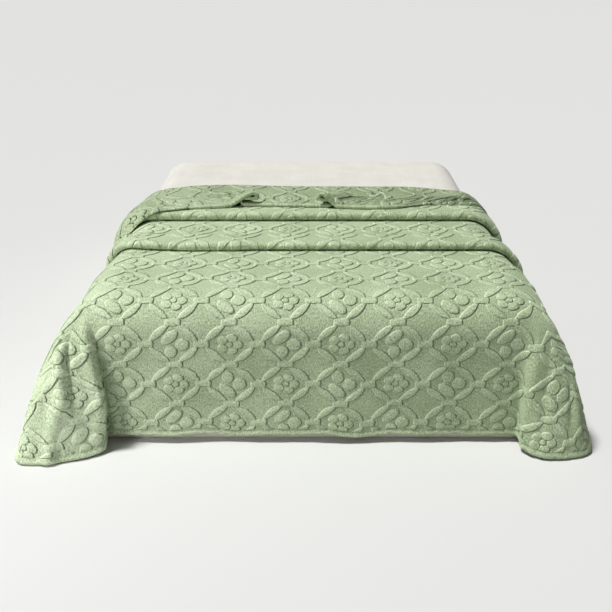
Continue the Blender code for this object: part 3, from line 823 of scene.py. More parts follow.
PETALS = (
    # across, along, half length, half width, slant in degrees
    (-0.0115, 0.0225, 0.0310, 0.0165, 38.5),
    (0.0275, -0.0015, 0.0215, 0.0195, 0.0),
    (-0.0095, -0.0255, 0.0210, 0.0185, 80.0),
)
ROSETTE_MIDDLE = 0.0100
ROSETTE_PETALS = 5
ROSETTE_RING = 0.0270
ROSETTE_PETAL = (0.0150, 0.0172)
ROSETTE_SQUASH = 0.84
HEM_PLAIN = 0.018


def wrapped(value, pitch):
    """The nearest ring's number, and how far the place is from that ring's middle."""
    number = work("FLOOR", value / pitch + 0.5)
    return number, value - number * pitch


def flower(x, y):
    """How far outside the three petals a place is."""
    first, second, third = (egg(x, y, *oval, math.radians(slant)) for *oval, slant in PETALS)
    return work("MINIMUM", work("MINIMUM", first, second), third)


def rosette(x, y):
    """How far outside a rosette, a round middle in a ring of petals, a place is."""
    away = diagonal(x, y)
    _, turned = wrapped(work("ARCTAN2", y, x), 2.0 * math.pi / ROSETTE_PETALS)
    petal_x = away * work("COSINE", turned)
    petal_y = away * work("SINE", turned)
    petal = egg(petal_x, petal_y, ROSETTE_RING, 0.0, *ROSETTE_PETAL, 0.0)
    return work("MINIMUM", petal, away - ROSETTE_MIDDLE)


def odd(number):
    """1 for an odd number and 0 for an even one."""
    return work("ABSOLUTE", number - 2.0 * work("FLOOR", number * 0.5))


def edge_distance(u, v):
    """How far a place on the cloth is from its nearest cut edge."""
    to_side = CLOTH_WIDTH / 2 - work("ABSOLUTE", u)
    to_end = work("MINIMUM", v, CLOTH_LENGTH - v)
    return work("MINIMUM", to_side, to_end)


def carving(u, v):
    """How far outside the nearest carved form a place on the cloth is. The hem is left plain."""
    column, x = wrapped(u - FIRST_RING_ACROSS, PITCH_ACROSS)
    row, y = wrapped(v - FIRST_RING_ALONG, PITCH_ALONG)
    aside = work("ABSOLUTE", x)
    up = work("ABSOLUTE", y)
    knots = work(
        "MINIMUM",
        block(aside, up, PITCH_ACROSS / 2, 0.0, *SIDE_KNOT, KNOT_ROUNDING),
        block(aside, up, 0.0, PITCH_ALONG / 2, *END_KNOT, KNOT_ROUNDING),
    )
    leaves = work("MAXIMUM", leaf(aside, up, *LEAF_TIPS, *LEAF_BULGES), LEAF_GAP - knots)
    lattice = work("MINIMUM", leaves, knots)
    odd_ring = odd(row + column)
    upright = y * (1.0 - 2.0 * odd(row))
    motif = flower(x, upright) * (1.0 - odd_ring) + rosette(x, y / ROSETTE_SQUASH) * odd_ring
    return work("MAXIMUM", work("MINIMUM", lattice, motif), HEM_PLAIN - edge_distance(u, v))


leaf_middle = np.mean(LEAF_TIPS, axis=0) + (FIRST_RING_ACROSS, FIRST_RING_ALONG)
print(f"half way between its tips a leaf's outline is {-carving(*leaf_middle) * 1000:.1f} mm away")

# %% [markdown]
# ## The height of the pile
#
# Inside a form the pile stands proud and rounds off towards its edge. Just outside it, clippers have left a
# groove, which is what draws the dark outlines in the photograph. The edge is given a softness: the mesh, at
# 7 mm, takes a soft edge, and the material a crisp one. Round the two lips of the pleats the cloth is
# stretched, so its pile lies lower there.

# %% Turn a distance into a pile height
PILE_RISE = 0.0040
PILE_DOME = 0.0005
DOME_REACH = 0.007
GROOVE_DEPTH = 0.0008
GROOVE_AT = 0.0012
GROOVE_WIDTH = 0.0018
GROOVE_SOFTENED = 0.5
HEM_ROLL = 0.015
HEM_ROLL_FALL = 0.007
HEM_ROLL_RISE = 0.0040
# how fast two crossed waves turn across and along the hem, in radians a metre
HEM_LUMPS = (150.0, 170.0, 93.0, 61.0)
HEM_LUMP_SHARE = 0.35
HEM_GROOVE_AT = 0.0180
HEM_GROOVE_WIDTH = 0.0030
HEM_GROOVE_DEPTH = 0.0015
# where the two lips lie on the cloth, in metres from its front hem
LIPS_ON_CLOTH = (1.057, 1.642)
LIP_SPREAD = 0.034
LIP_CALM = 0.65


def groove_share(distance, softness):
    """How much of the groove there is, 1 in its middle."""
    return bell((distance - GROOVE_AT) / (GROOVE_WIDTH + softness * GROOVE_SOFTENED))


def pile_height(distance, softness):
    """The height of the pile at a distance from the nearest form."""
    proud = ease(0.5 - distance / softness)
    dome = ease((0.0 - distance) / DOME_REACH)
    return proud * PILE_RISE + dome * PILE_DOME - groove_share(distance, softness) * GROOVE_DEPTH


def lip_share(v):
    """1 on the turn of either lip, where the stretched cloth draws its pile flat, and 0 away from both."""
    front, back = (bell((v - lip) / LIP_SPREAD) for lip in LIPS_ON_CLOTH)
    return front + back


def hem_roll(u, v):
    """How much of the hem's roll there is: 1 on the edge, uneven along it, and 0 on the cloth."""
    slanted = work("SINE", u * HEM_LUMPS[0] + v * HEM_LUMPS[1])
    lumps = slanted * work("SINE", v * HEM_LUMPS[2] - u * HEM_LUMPS[3])
    return ease((HEM_ROLL - edge_distance(u, v)) / HEM_ROLL_FALL) * (1.0 + lumps * HEM_LUMP_SHARE)


def hem_height(u, v):
    """The turned hem: a low roll along the edge with a stitched groove behind it."""
    groove = bell((edge_distance(u, v) - HEM_GROOVE_AT) / HEM_GROOVE_WIDTH)
    return hem_roll(u, v) * HEM_ROLL_RISE - groove * HEM_GROOVE_DEPTH


print(f"the pile stands {(PILE_RISE + PILE_DOME) * 1000:.1f} mm above the ground of the cloth")

# %% [markdown]
# ## Unevenness
#
# Real cloth is never quite flat. A few soft ridges and troughs are placed where the photograph shows them, in
# the cloth's own metres: down the cones, across the foot drop and on the top. Each is a line with a width and
# a height that fades at its ends.

# %% Place soft ridges and troughs
SOFT_FOLDS = (
    # across and along at both ends, half width, height
    (-0.767, 0.42, -0.828, 0.11, 0.014, 0.015),
    (-0.812, 0.21, -0.950, -0.08, 0.017, 0.014),
    (-0.748, 0.42, -0.800, 0.12, 0.010, -0.010),
    (-0.705, 0.45, -0.727, 0.02, 0.014, 0.017),
    (-0.688, 0.42, -0.660, -0.06, 0.012, -0.021),
    (-0.746, 0.34, -0.790, -0.02, 0.022, -0.007),
    (-0.880, 0.02, -0.850, 0.22, 0.018, -0.006),
    (-0.960, 0.05, -0.850, 0.36, 0.016, 0.006),
    (0.712, 0.43, 0.740, -0.11, 0.014, 0.010),
    (0.748, 0.36, 0.800, -0.04, 0.013, -0.009),
    (0.790, 0.45, 0.950, 0.00, 0.016, 0.010),
    (0.840, 0.30, 0.890, 0.04, 0.013, -0.006),
    (0.690, 0.36, 0.680, 0.00, 0.014, -0.005),
    (0.960, 0.20, 0.880, 0.40, 0.018, 0.005),
    (0.62, 0.72, 0.86, 0.60, 0.016, 0.004),
    (0.64, 0.80, 0.90, 0.70, 0.014, 0.004),
    (-0.52, 1.02, -0.20, 1.08, 0.030, 0.004),
    (0.10, 0.70, 0.42, 0.78, 0.050, 0.003),
    (-0.50, 0.66, -0.16, 0.60, 0.050, 0.003),
    (-0.22, 0.60, 0.10, 0.66, 0.030, -0.002),
)
# the share of its length over which a fold fades at each end
FOLD_FADE = 0.3


def soft_folds(u, v):
    """How far the ridges and troughs lift the cloth."""
    lift = np.zeros_like(u)
    for u_0, v_0, u_1, v_1, half_width, height in SOFT_FOLDS:
        forward, aside, length = beside_line(u, v, (u_0, v_0), (u_1, v_1))
        fade = FOLD_FADE * length
        lift += height * bell(aside / half_width) * ease(forward / fade) * ease((length - forward) / fade)
    return lift


unevenness = soft_folds(across, along)
print(f"soft folds from {unevenness.min():.4f} to {unevenness.max():.4f}")

# %% Give the cloth its two faces
MESH_SOFTNESS = 0.010
MESH_SHARE = 0.50
FOLD_CALM = 0.35
FOLD_LENGTHS = (0.130, 0.117)
FLOOR_CLEAR = 0.0015
SEEN_REACH = 2


def face_normals(surface):
    """The directions square to a grid of points, on the upper side."""
    return unit(np.cross(np.gradient(surface, axis=1), np.gradient(surface, axis=0)))


def shows(stretch, face):
    """Whether the upper or the lower face of the cloth is seen in a stretch."""
    if face == "lower":
        return stretch == "turned back"
    return stretch != "turned back" and stretch not in HIDDEN_STRETCHES


def seen_share(face):
    """A column of numbers: 1 on the rows where a face and its neighbours are seen, and 0 elsewhere."""
    seen = np.pad([1.0 if shows(stretch, face) else 0.0 for stretch, _, _ in rows], SEEN_REACH, mode="edge")
    return np.array([[seen[index:index + 2 * SEEN_REACH + 1].min()] for index in range(len(rows))])


def two_faces():
    """The upper and lower faces of the cloth, carved where they are seen."""
    normal = face_normals(middle)
    centre = middle + normal * unevenness[..., None]
    normal = face_normals(centre)
    height = pile_height(carving(across, along), MESH_SOFTNESS) * MESH_SHARE
    hem = hem_height(across, along)
    in_left_fold = (across > STRIP_ENDS[0] - FOLD_LENGTHS[0]) & (across < STRIP_ENDS[0])
    in_right_fold = (across > STRIP_ENDS[1]) & (across < STRIP_ENDS[1] + FOLD_LENGTHS[1])
    calm = np.where((in_left_fold | in_right_fold) & (along > CLOTH_LENGTH / 2), FOLD_CALM, 1.0)
    calm = calm * (1.0 - lip_share(along) * LIP_CALM)
    faces = []
    for face, outward in (("upper", normal), ("lower", -normal)):
        lift = (height * seen_share(face) + hem) * calm
        surface = centre + outward * (THICKNESS / 2 + lift)[..., None]
        surface[..., 2] = np.maximum(surface[..., 2], FLOOR_CLEAR)
        faces.append(surface)
    return centre, *faces


centre, upper, lower = two_faces()
print(f"the faces reach {upper[..., 2].max():.3f} high and {lower[..., 2].min():.4f} low")

# %% [markdown]
# ## Sew the two faces into one closed sheet
#
# Where a face is hidden it needs few points. Neighbouring rows may then have different columns, so the strip
# between two rows is filled by walking along both and always stepping on the row that is behind. The same
# walk closes the hem: a rounded rim runs between the two faces, since a plush edge is soft and full.

# %% Fill the strip between two lines of corners
COARSE = 4


def strip(first, second):
    """Faces between two lines of corners, each a list of (place, corner), seen from the upper side."""
    faces = []
    i = 0
    j = 0
    while i < len(first) - 1 or j < len(second) - 1:
        step_first = first[i + 1][0] if i < len(first) - 1 else math.inf
        step_second = second[j + 1][0] if j < len(second) - 1 else math.inf
        if step_first == step_second:
            faces.append((first[i][1], first[i + 1][1], second[j + 1][1], second[j][1]))
            i += 1
            j += 1
        elif step_first < step_second:
            faces.append((first[i][1], first[i + 1][1], second[j][1]))
            i += 1
        else:
            faces.append((first[i][1], second[j + 1][1], second[j][1]))
            j += 1
    return faces


def turned_over(faces):
    """The same faces seen from the other side."""
    return [tuple(reversed(face)) for face in faces]


all_columns = list(range(COLUMN_COUNT))
few_columns = sorted({*all_columns[::COARSE], COLUMN_COUNT - 1})


def face_rows(face):
    """The rows that a face keeps, each with its columns: all where it is seen, few where it isn't."""
    kept = []
    for index, (stretch, _, _) in enumerate(rows):
        short = stretch in (*HIDDEN_STRETCHES, "lip", "back fold")
        first = index in (0, len(rows) - 1) or rows[index - 1][0] != stretch
        if shows(stretch, face):
            kept.append((index, all_columns))
        elif short or first or index % COARSE == 0:
            kept.append((index, few_columns))
    return kept


print("columns kept", len(all_columns), "or", len(few_columns))

# %% List the faces of the sheet
RIM_FULLNESS = 0.55


def corner(layer, row, column):
    """The number of a corner in one of three layers: upper face 0, middle of the rim 1, lower face 2."""
    return (layer * len(rows) + row) * COLUMN_COUNT + column


def face_strips(layer, kept):
    """The faces between all the neighbouring rows of a layer."""
    lines = [[(column, corner(layer, row, column)) for column in kept_columns] for row, kept_columns in kept]
    return [face for line, next_line in zip(lines, lines[1:]) for face in strip(line, next_line)]


def rim_line(layer, kept):
    """The way round a face along its edge, from the first corner of the foot hem back to it."""
    wide = COLUMN_COUNT
    high = len(rows)
    hem_back = kept[-1][1][-2::-1]
    line = [(column, corner(layer, 0, column)) for column in kept[0][1]]
    line += [(wide + row, corner(layer, row, wide - 1)) for row, _ in kept[1:]]
    line += [(2 * wide + high - 1 - column, corner(layer, high - 1, column)) for column in hem_back]
    line += [(2 * (wide + high) - 1 - row, corner(layer, row, 0)) for row, _ in kept[-2::-1]]
    return line


def sheet_faces():
    """The faces of the closed sheet, and for each a 1 on the cloth's lower face and a 0 elsewhere."""
    upper_rows = face_rows("upper")
    lower_rows = face_rows("lower")
    every_row = [(row, all_columns) for row in range(len(rows))]
    on_top = face_strips(0, upper_rows)
    below = turned_over(face_strips(2, lower_rows))
    rims = [rim_line(layer, kept) for layer, kept in enumerate((upper_rows, every_row, lower_rows))]
    round_edge = turned_over(strip(rims[0], rims[1]) + strip(rims[1], rims[2]))
    return on_top + below + round_edge, [0] * len(on_top) + [1] * len(below) + [0] * len(round_edge)


def rounded_rim():
    """The line along the middle of the edge, pushed outward so that the edge is full."""
    out = np.zeros_like(centre)
    for edge, inner in ((0, 1), (-1, -2)):
        out[:, edge] += unit(centre[:, edge] - centre[:, inner])
        out[edge] += unit(centre[edge] - centre[inner])
    rim = centre + out * THICKNESS * RIM_FULLNESS
    rim[..., 2] = np.maximum(rim[..., 2], FLOOR_CLEAR)
    return rim


sheet, lower_marks = sheet_faces()
print(len(sheet), "faces, of which the cloth's lower face has", sum(lower_marks))

# %% Build the sheet
def cloth_mesh(name):
    """The closed sheet, with the place on the flat cloth as its UV map, in metres."""
    points = np.concatenate([layer.reshape(-1, 3) for layer in (upper, rounded_rim(), lower)])
    places = np.tile(np.stack([across.ravel(), along.ravel()], axis=-1), (3, 1))
    used = np.zeros(len(points), dtype=bool)
    used[[item for face in sheet for item in face]] = True
    number = (np.cumsum(used) - 1).tolist()
    mesh = bpy.data.meshes.new(name)
    mesh.from_pydata(points[used].tolist(), [], [tuple(number[item] for item in face) for face in sheet])
    mesh.polygons.foreach_set("material_index", lower_marks)
    mesh.shade_smooth()
    corners = np.empty(len(mesh.loops), dtype=np.int32)
    mesh.loops.foreach_get("vertex_index", corners)
    uv_map = mesh.uv_layers.new(name="place_on_cloth")
    uv_map.data.foreach_set("uv", places[used][corners].ravel())
    return mesh


blanket = put("carved_fleece_blanket", cloth_mesh("carved_fleece_blanket"))
print("triangles in the blanket", sum(len(face.vertices) - 2 for face in blanket.data.polygons))

# %% [markdown]
# ## The colour of the fleece
#
# Plush fleece is a knitted polyester base with a brushed pile. Light enters between the fibres and comes out
# softened, so there is no gloss, but a faint pale sheen where the pile is seen edge on. The colours are read
# as hex values, and one function turns them to the linear numbers that shaders use.

# %% Turn a hex colour into linear numbers
def linear(hex_colour):
    """An sRGB hex colour as linear red, green, blue and one, by the numbers of the sRGB standard."""
    parts = [int(hex_colour[index:index + 2], 16) / 255 for index in (1, 3, 5)]
    channels = [part / 12.92 if part <= 0.04045 else ((part + 0.055) / 1.055) ** 2.4 for part in parts]
    return (*channels, 1.0)


def new_material(name, roughness, shine):
    """A node material with a Principled shader of a roughness and a specular level."""
    made = bpy.data.materials.new(name)
    made.use_nodes = True
    tree = made.node_tree
    tree.nodes.clear()
    shader = add_node(tree, "ShaderNodeBsdfPrincipled", {"Roughness": roughness, "Specular IOR Level": shine})
    add_node(tree, "ShaderNodeOutputMaterial", links={"Surface": shader.outputs["BSDF"]})
    return made, tree, shader


def colour_and_relief(tree, shader, colour, height):
    """Give a shader its colour, and a bump from a height in metres."""
    bump = add_node(tree, "ShaderNodeBump", {"Strength": 1.0, "Distance": 1.0}, {"Height": height.socket})
    tree.links.new(colour, shader.inputs["Base Color"])
    tree.links.new(bump.outputs["Normal"], shader.inputs["Normal"])


print("sage green is", [round(value, 3) for value in linear("#9AAB86")[:3]])

# %% [markdown]
# ## Brushed and carved fleece
#
# The material adds what is finer than the mesh. The crisp edges of the carving come from the same formula as
# the mesh's relief, and all heights are in metres, so a bump of strength one is true.
#
# The carved edges carry painted highlight and painted shade: on one side of each form a thin pale line is
# painted, and on the other a thin dark one, as a light from one side would draw them. They are part of the
# colour, so they stay put whatever the lamps do. The difference between the formula here and the same formula
# a few millimetres aside finds both lines.
#
# The single tufts are half a millimetre wide, too fine for this picture. They are drawn as a grain of 4 by
# 7 mm, as coarse as it needs to be to show. The long pile of the forms is painted a little paler than the
# clipped ground, as painted light, and slow changes show where hands have stroked it. Painted light also
# makes the cloth paler towards the left, the rolled hem paler as a highlight and the front of the left cone
# paler as a pool of light, and painted shade darkens the grooves. The painted edge lines are weaker on the
# drop at the foot than on the bed, and all but gone on the lips, where the stretched pile lies lower.

# %% Make the fleece
# the pale tone, for painted light and the paler grain; the main tone; and the deep tone, for painted shade
# and the darker grain; on the face and on the reverse
FLEECE_TONES = ("#DCEBC8", "#9AAB86", "#64725A")
# the reverse face's tones: partly its own darker colour, partly painted shade for the dimmer turned-back
# layer
REVERSE_AND_SHADE_TONES = ("#C8D7B4", "#7F906C", "#3B472F")
FLEECE_SHEEN = "#DCE8CC"

CRISP_SOFTNESS = 0.0034
# how far the carving is shifted aside to find where its edges get painted highlight and painted shade
PAINTED_EDGE_OFFSET = (0.0030, -0.0008)
WOBBLE_ACROSS = 0.0085
WOBBLE_ALONG = 0.0065
GRAIN_HEIGHT = 0.0045
CURL_HEIGHT = 0.0022
GRAIN_IN_TUFTS = 6.0
CURL_IN_TUFTS = 1.4

# painted shade on one side of each carved edge
PAINTED_SHADE_ON_EDGES = 0.85
DEEP_BETWEEN_TUFTS = 0.17
# painted shade darkening the clipped groove round each form
PAINTED_SHADE_IN_GROOVE = 0.08
PALE_USUALLY = 0.27
# painted light: the raised forms a little paler than the clipped ground
PAINTED_LIGHT_WHERE_RAISED = 0.14
# painted highlight on the other side of each carved edge
PAINTED_HIGHLIGHT_ON_EDGES = 1.1
PALE_ON_TUFTS = 0.33
PALE_WHERE_STROKED = 0.80
# painted light: the cloth paler towards the left and darker towards the right
PAINTED_LIGHT_TO_THE_LEFT = 0.22
# painted highlight on the rolled hem
PAINTED_HIGHLIGHT_ON_HEM = 0.12
# how strong the painted edge lines are on the foot drop, how much is added on the bed and taken away on a
# lip, and how fast that changes
PAINTED_EDGES_ON_THE_DROP = 0.86
PAINTED_EDGES_ADDED_ON_THE_BED = 0.74
PAINTED_EDGES_LOST_ON_A_LIP = 1.00
PAINTED_EDGES_FADE = 0.10
# a painted pool of light on the front of the left cone: where it is, how far it spreads and how strong it is
PAINTED_LIGHT_ON_CONE_AT = (-0.80, 0.10)
PAINTED_LIGHT_ON_CONE_SPREAD = (0.11, 0.14)
PAINTED_LIGHT_ON_CONE_SHARE = 0.34

FLEECE_NOISES = (
    # what it is for, size across and along the cloth in metres, detail, roughness
    ("wobble", 0.0100, 0.0100, 3.0, 0.60),
    ("grain", 0.0040, 0.0074, 2.0, 0.65),
    ("curl", 0.0120, 0.0120, 3.0, 0.60),
    ("stroked", 0.1600, 0.1600, 2.0, 0.50),
)
FLEECE_ROUGHNESS = 0.95
FLEECE_SHINE = 0.15
SHEEN_SHARE = 0.30
SHEEN_ROUGHNESS = 0.45


def painted_light_on_cone(u, v):
    """How much painted light there is: 1 on the front of the left cone, fading away from it."""
    aside = (u - PAINTED_LIGHT_ON_CONE_AT[0]) / PAINTED_LIGHT_ON_CONE_SPREAD[0]
    above = (v - PAINTED_LIGHT_ON_CONE_AT[1]) / PAINTED_LIGHT_ON_CONE_SPREAD[1]
    return work("EXPONENT", 0.0 - aside * aside - above * above)


def fleece_material(name, light, main, deep):
    """Brushed polyester fleece with a carved pile, from its three tones."""
    made, tree, shader = new_material(name, FLEECE_ROUGHNESS, FLEECE_SHINE)
    place = add_node(tree, "ShaderNodeUVMap", {"uv_map": "place_on_cloth"}).outputs["UV"]
    split = add_node(tree, "ShaderNodeSeparateXYZ", links={"Vector": place})
    u, v = (Field(tree, split.outputs[axis]) for axis in "XY")
    uneven = {}
    for title, wide, long, detail, roughness in FLEECE_NOISES:
        sizes = {"Scale": (1.0 / wide, 1.0 / long, 1.0)}
        sized = add_node(tree, "ShaderNodeMapping", sizes, {"Vector": place}).outputs["Vector"]
        settings = {"Scale": 1.0, "Detail": detail, "Roughness": roughness}
        noise = add_node(tree, "ShaderNodeTexNoise", settings, {"Vector": sized})
        uneven[title] = Field(tree, noise.outputs["Fac"]) - 0.5

    ragged_u = u + uneven["wobble"] * WOBBLE_ACROSS
    ragged_v = v + uneven["wobble"] * WOBBLE_ALONG
    distance = carving(ragged_u, ragged_v)
    # painted highlight and painted shade on the carved edges: the carving less the same carving shifted aside
    shifted_distance = carving(ragged_u + PAINTED_EDGE_OFFSET[0], ragged_v + PAINTED_EDGE_OFFSET[1])
    raised = ease(0.5 - distance / CRISP_SOFTNESS)
    painted_edges = raised - ease(0.5 - shifted_distance / CRISP_SOFTNESS)
    painted_edge_strength = ease((v - FOOT_DROP) / PAINTED_EDGES_FADE) * PAINTED_EDGES_ADDED_ON_THE_BED + PAINTED_EDGES_ON_THE_DROP
    painted_edges = painted_edges * (painted_edge_strength - lip_share(v) * PAINTED_EDGES_LOST_ON_A_LIP)
    groove = groove_share(distance, CRISP_SOFTNESS)
    tufts = uneven["grain"] * GRAIN_IN_TUFTS + uneven["curl"] * CURL_IN_TUFTS

    # the deep tone: painted shade on one side of each carved edge and in the grooves, and the darker grain
    # between tufts
    dark = within(painted_edges * PAINTED_SHADE_ON_EDGES - tufts * DEEP_BETWEEN_TUFTS + groove * PAINTED_SHADE_IN_GROOVE)
    # the stroked noise is the pile's own tone; the paler left side, the hem's highlight, the pool of light on
    # the left cone and the paler raised forms are painted light
    by_place = uneven["stroked"] * PALE_WHERE_STROKED - u * PAINTED_LIGHT_TO_THE_LEFT + hem_roll(u, v) * PAINTED_HIGHLIGHT_ON_HEM
    by_place = by_place + painted_light_on_cone(u, v) * PAINTED_LIGHT_ON_CONE_SHARE + raised * PAINTED_LIGHT_WHERE_RAISED
    pale = within(PALE_USUALLY - painted_edges * PAINTED_HIGHLIGHT_ON_EDGES + tufts * PALE_ON_TUFTS + by_place)
    tones = {"data_type": "RGBA", 6: linear(main), 7: linear(light)}
    toned = add_node(tree, "ShaderNodeMix", tones, {0: pale.socket})
    depth = {"data_type": "RGBA", 7: linear(deep)}
    shaded = add_node(tree, "ShaderNodeMix", depth, {0: dark.socket, 6: toned.outputs[2]})

    height = pile_height(distance, CRISP_SOFTNESS) * (1.0 - lip_share(v) * LIP_CALM)
    height = height + uneven["grain"] * GRAIN_HEIGHT + uneven["curl"] * CURL_HEIGHT
    colour_and_relief(tree, shader, shaded.outputs[2], height)
    shader.inputs["Sheen Weight"].default_value = SHEEN_SHARE
    shader.inputs["Sheen Roughness"].default_value = SHEEN_ROUGHNESS
    shader.inputs["Sheen Tint"].default_value = linear(FLEECE_SHEEN)
    return made


for name, tones in (
    ("brushed_carved_polyester_fleece", FLEECE_TONES),
    ("brushed_carved_polyester_fleece_reverse_and_shade", REVERSE_AND_SHADE_TONES),
):
    blanket.data.materials.append(fleece_material(name, *tones))
print("nodes in the fleece", len(blanket.data.materials[0].node_tree.nodes))

# %% [markdown]
# ## The mattress
#
# Under the blanket lies a plain foam mattress in a knitted cover. It is a rounded box whose top is crowned a
# little, since foam is softer at its edges. A bevel rounds the edges, as a cover stretched over foam does.
# Two sewn seams run round its sides, each a loop of points drawn in. Its sizes are read from the frame.

# %% Shape the mattress
MATTRESS_ROUNDING = 0.12
MATTRESS_LOWER_ROUNDING = 0.03
CROWN_RISE = CLEARANCE - SEAT_GAP
CROWN_INSET = 0.07
SEAMS_ABOVE_BASE = (0.040, 0.090)
SEAM_DEPTH = 0.0030
SEAM_WIDTH = 0.006
ROUNDING_STEPS = 14
LOWER_ROUNDING_STEPS = 6
CROWN_STEPS = 5
SAME_LEVEL = 1e-5
LEVEL_UP = 0.99


def round_edges(shape, edges, offset, steps):
    """Round some edges of a shape."""
    bmesh.ops.bevel(shape, geom=edges, offset=offset, segments=steps, profile=0.5, affect="EDGES")


def mattress_mesh(name):
    """A closed rounded box with a crowned top and two sewn seams round its sides."""
    height = mattress_high.z - mattress_low.z - CROWN_RISE
    length = mattress_high.y - mattress_low.y
    shape = bmesh.new()
    bmesh.ops.create_cube(shape, size=1.0)
    bmesh.ops.scale(shape, vec=(BED_WIDTH, length, height), verts=shape.verts)
    top = [edge for edge in shape.edges if all(point.co.z > 0 for point in edge.verts)]
    upright = [edge for edge in shape.edges if abs(edge.verts[0].co.z - edge.verts[1].co.z) > height / 2]
    round_edges(shape, top + upright, MATTRESS_ROUNDING, ROUNDING_STEPS)
    lowest = min(point.co.z for point in shape.verts)
    bottom = [edge for edge in shape.edges if max(point.co.z for point in edge.verts) < lowest + SAME_LEVEL]
    round_edges(shape, bottom, MATTRESS_LOWER_ROUNDING, LOWER_ROUNDING_STEPS)
    level_faces = [face for face in shape.faces if face.normal.z > LEVEL_UP]
    flat_top = max(level_faces, key=lambda face: face.calc_area())
    for step in range(CROWN_STEPS):
        rise = CROWN_RISE * float(ease((step + 1) / CROWN_STEPS) - ease(step / CROWN_STEPS))
        bmesh.ops.inset_region(shape, faces=[flat_top], thickness=CROWN_INSET / CROWN_STEPS, depth=rise)
    for above in SEAMS_ABOVE_BASE:
        seam = above - height / 2
        for level in (seam - SEAM_WIDTH, seam, seam + SEAM_WIDTH):
            parts = shape.verts[:] + shape.edges[:] + shape.faces[:]
            bmesh.ops.bisect_plane(shape, geom=parts, plane_co=(0.0, 0.0, level), plane_no=(0.0, 0.0, 1.0))
        shape.normal_update()
        for point in shape.verts:
            if abs(point.co.z - seam) < SAME_LEVEL:
                point.co -= point.normal * SEAM_DEPTH
    middle_place = (0.0, (mattress_low.y + mattress_high.y) / 2, mattress_low.z + height / 2)
    bmesh.ops.translate(shape, vec=middle_place, verts=shape.verts)
    mesh = bpy.data.meshes.new(name)
    shape.to_mesh(mesh)
    shape.free()
    mesh.shade_smooth()
    return mesh


mattress = put("foam_mattress", mattress_mesh("foam_mattress"))
print(f"mattress top at {max(point.co.z for point in mattress.data.vertices):.4f}")

# %% [markdown]
# ## Knitted cotton cover
#
# A mattress cover is a fine cotton knit. Its loops lie in upright rows about 1 mm apart, drawn 12 mm apart
# here, because finer ones don't show at this distance. The rows are a wave along the surface, and a slow
# noise keeps it from looking printed.

# %% Make the knitted cover
DULL_ROUGHNESS = 0.9
DULL_SHINE = 0.2
LOOP_SPACING = 0.012
KNIT_TONES = ("#C6C3BA", "#E8E6DF")
# a slow noise and a fine one, each (size in metres, detail)
KNIT_NOISES = ((0.09, 3.0), (0.0015, 1.0))
RIB_HEIGHT = 0.0006
LOOP_HEIGHT = 0.0004
SLOW_HEIGHT = 0.004
FINE_HEIGHT = 0.0002
PALE_BY_SLOW_NOISE = 0.6
PALE_BY_FINE_NOISE = 0.3
PALE_ON_LOOPS = 0.14


def plain_cloth(name, tones, spacing, noises, pattern):
    """A dull cloth whose pattern turns two waves' angles and two noises into a tone and a height."""
    made, tree, shader = new_material(name, DULL_ROUGHNESS, DULL_SHINE)
    place = add_node(tree, "ShaderNodeTexCoord").outputs["Object"]
    split = add_node(tree, "ShaderNodeSeparateXYZ", links={"Vector": place})
    x, y, z = (Field(tree, split.outputs[axis]) for axis in "XYZ")
    uneven = []
    for size, detail in noises:
        settings = {"Scale": 1.0 / size, "Detail": detail}
        noise = add_node(tree, "ShaderNodeTexNoise", settings, {"Vector": place})
        uneven.append(Field(tree, noise.outputs["Fac"]))
    turns = 2 * math.pi / spacing
    tone, height = pattern((x + y) * turns, (z + y) * turns, *uneven)
    dark, light = tones
    ends = {"data_type": "RGBA", 6: linear(dark), 7: linear(light)}
    mixed = add_node(tree, "ShaderNodeMix", ends, {0: within(tone).socket})
    colour_and_relief(tree, shader, mixed.outputs[2], height)
    return made


def knit(along_row, up_row, slow, fine):
    """Upright ribs, with loops that follow them."""
    rib = work("SINE", along_row)
    loop = work("SINE", up_row + rib)
    tone = slow * PALE_BY_SLOW_NOISE + fine * PALE_BY_FINE_NOISE + loop * PALE_ON_LOOPS
    return tone, rib * RIB_HEIGHT + loop * LOOP_HEIGHT + slow * SLOW_HEIGHT + fine * FINE_HEIGHT


mattress.data.materials.append(
    plain_cloth("fine_knitted_cotton", KNIT_TONES, LOOP_SPACING, KNIT_NOISES, knit))
print(f"loops {LOOP_SPACING * 1000:.0f} mm apart")

# %% [markdown]
# ## The upholstered base
#
# The base is a box covered with a plain woven cloth. The frame's solid already has its true shape, so it
# stays, and only its material changes. The weave is two sets of threads that pass over each other: one wave
# times another makes the chequer of a plain weave. Threads of 1 mm don't show at this distance, so they are
# drawn 10 mm apart.

# %% Make the woven upholstery and give it to the base
THREAD_SPACING = 0.010
LINEN_TONES = ("#C9C3B8", "#E2DDD3")
LINEN_NOISES = ((0.02, 3.0), (0.002, 1.0))
THREAD_HEIGHT = 0.0006
FIBRE_HEIGHT = 0.0003
PALE_BY_SLUBS = 0.7
PALE_ON_THREADS = 0.2
PALE_BY_FIBRES = 0.2


def weave(along_row, up_row, slub, fibre):
    """Threads that pass over and under each other."""
    over = work("SINE", along_row) * work("SINE", up_row)
    tone = slub * PALE_BY_SLUBS + over * PALE_ON_THREADS + fibre * PALE_BY_FIBRES
    return tone, over * THREAD_HEIGHT + fibre * FIBRE_HEIGHT


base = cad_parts["bed_base"]
base.data.materials.clear()
base.data.materials.append(
    plain_cloth("plain_woven_linen_upholstery", LINEN_TONES, THREAD_SPACING, LINEN_NOISES, weave))
print(f"threads {THREAD_SPACING * 1000:.0f} mm apart")

# %% [markdown]
# ## Put the soft pieces on the body
#
# Both soft pieces ride on the one body and stand for their solids, which are hidden.

for piece, node, slot in (
    (blanket, "blanket", "plush_fleece"),
    (mattress, "mattress", "mattress_cover"),
):
    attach(piece, "root")
    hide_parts(node)
print("declared", blanket.name, "and", mattress.name)

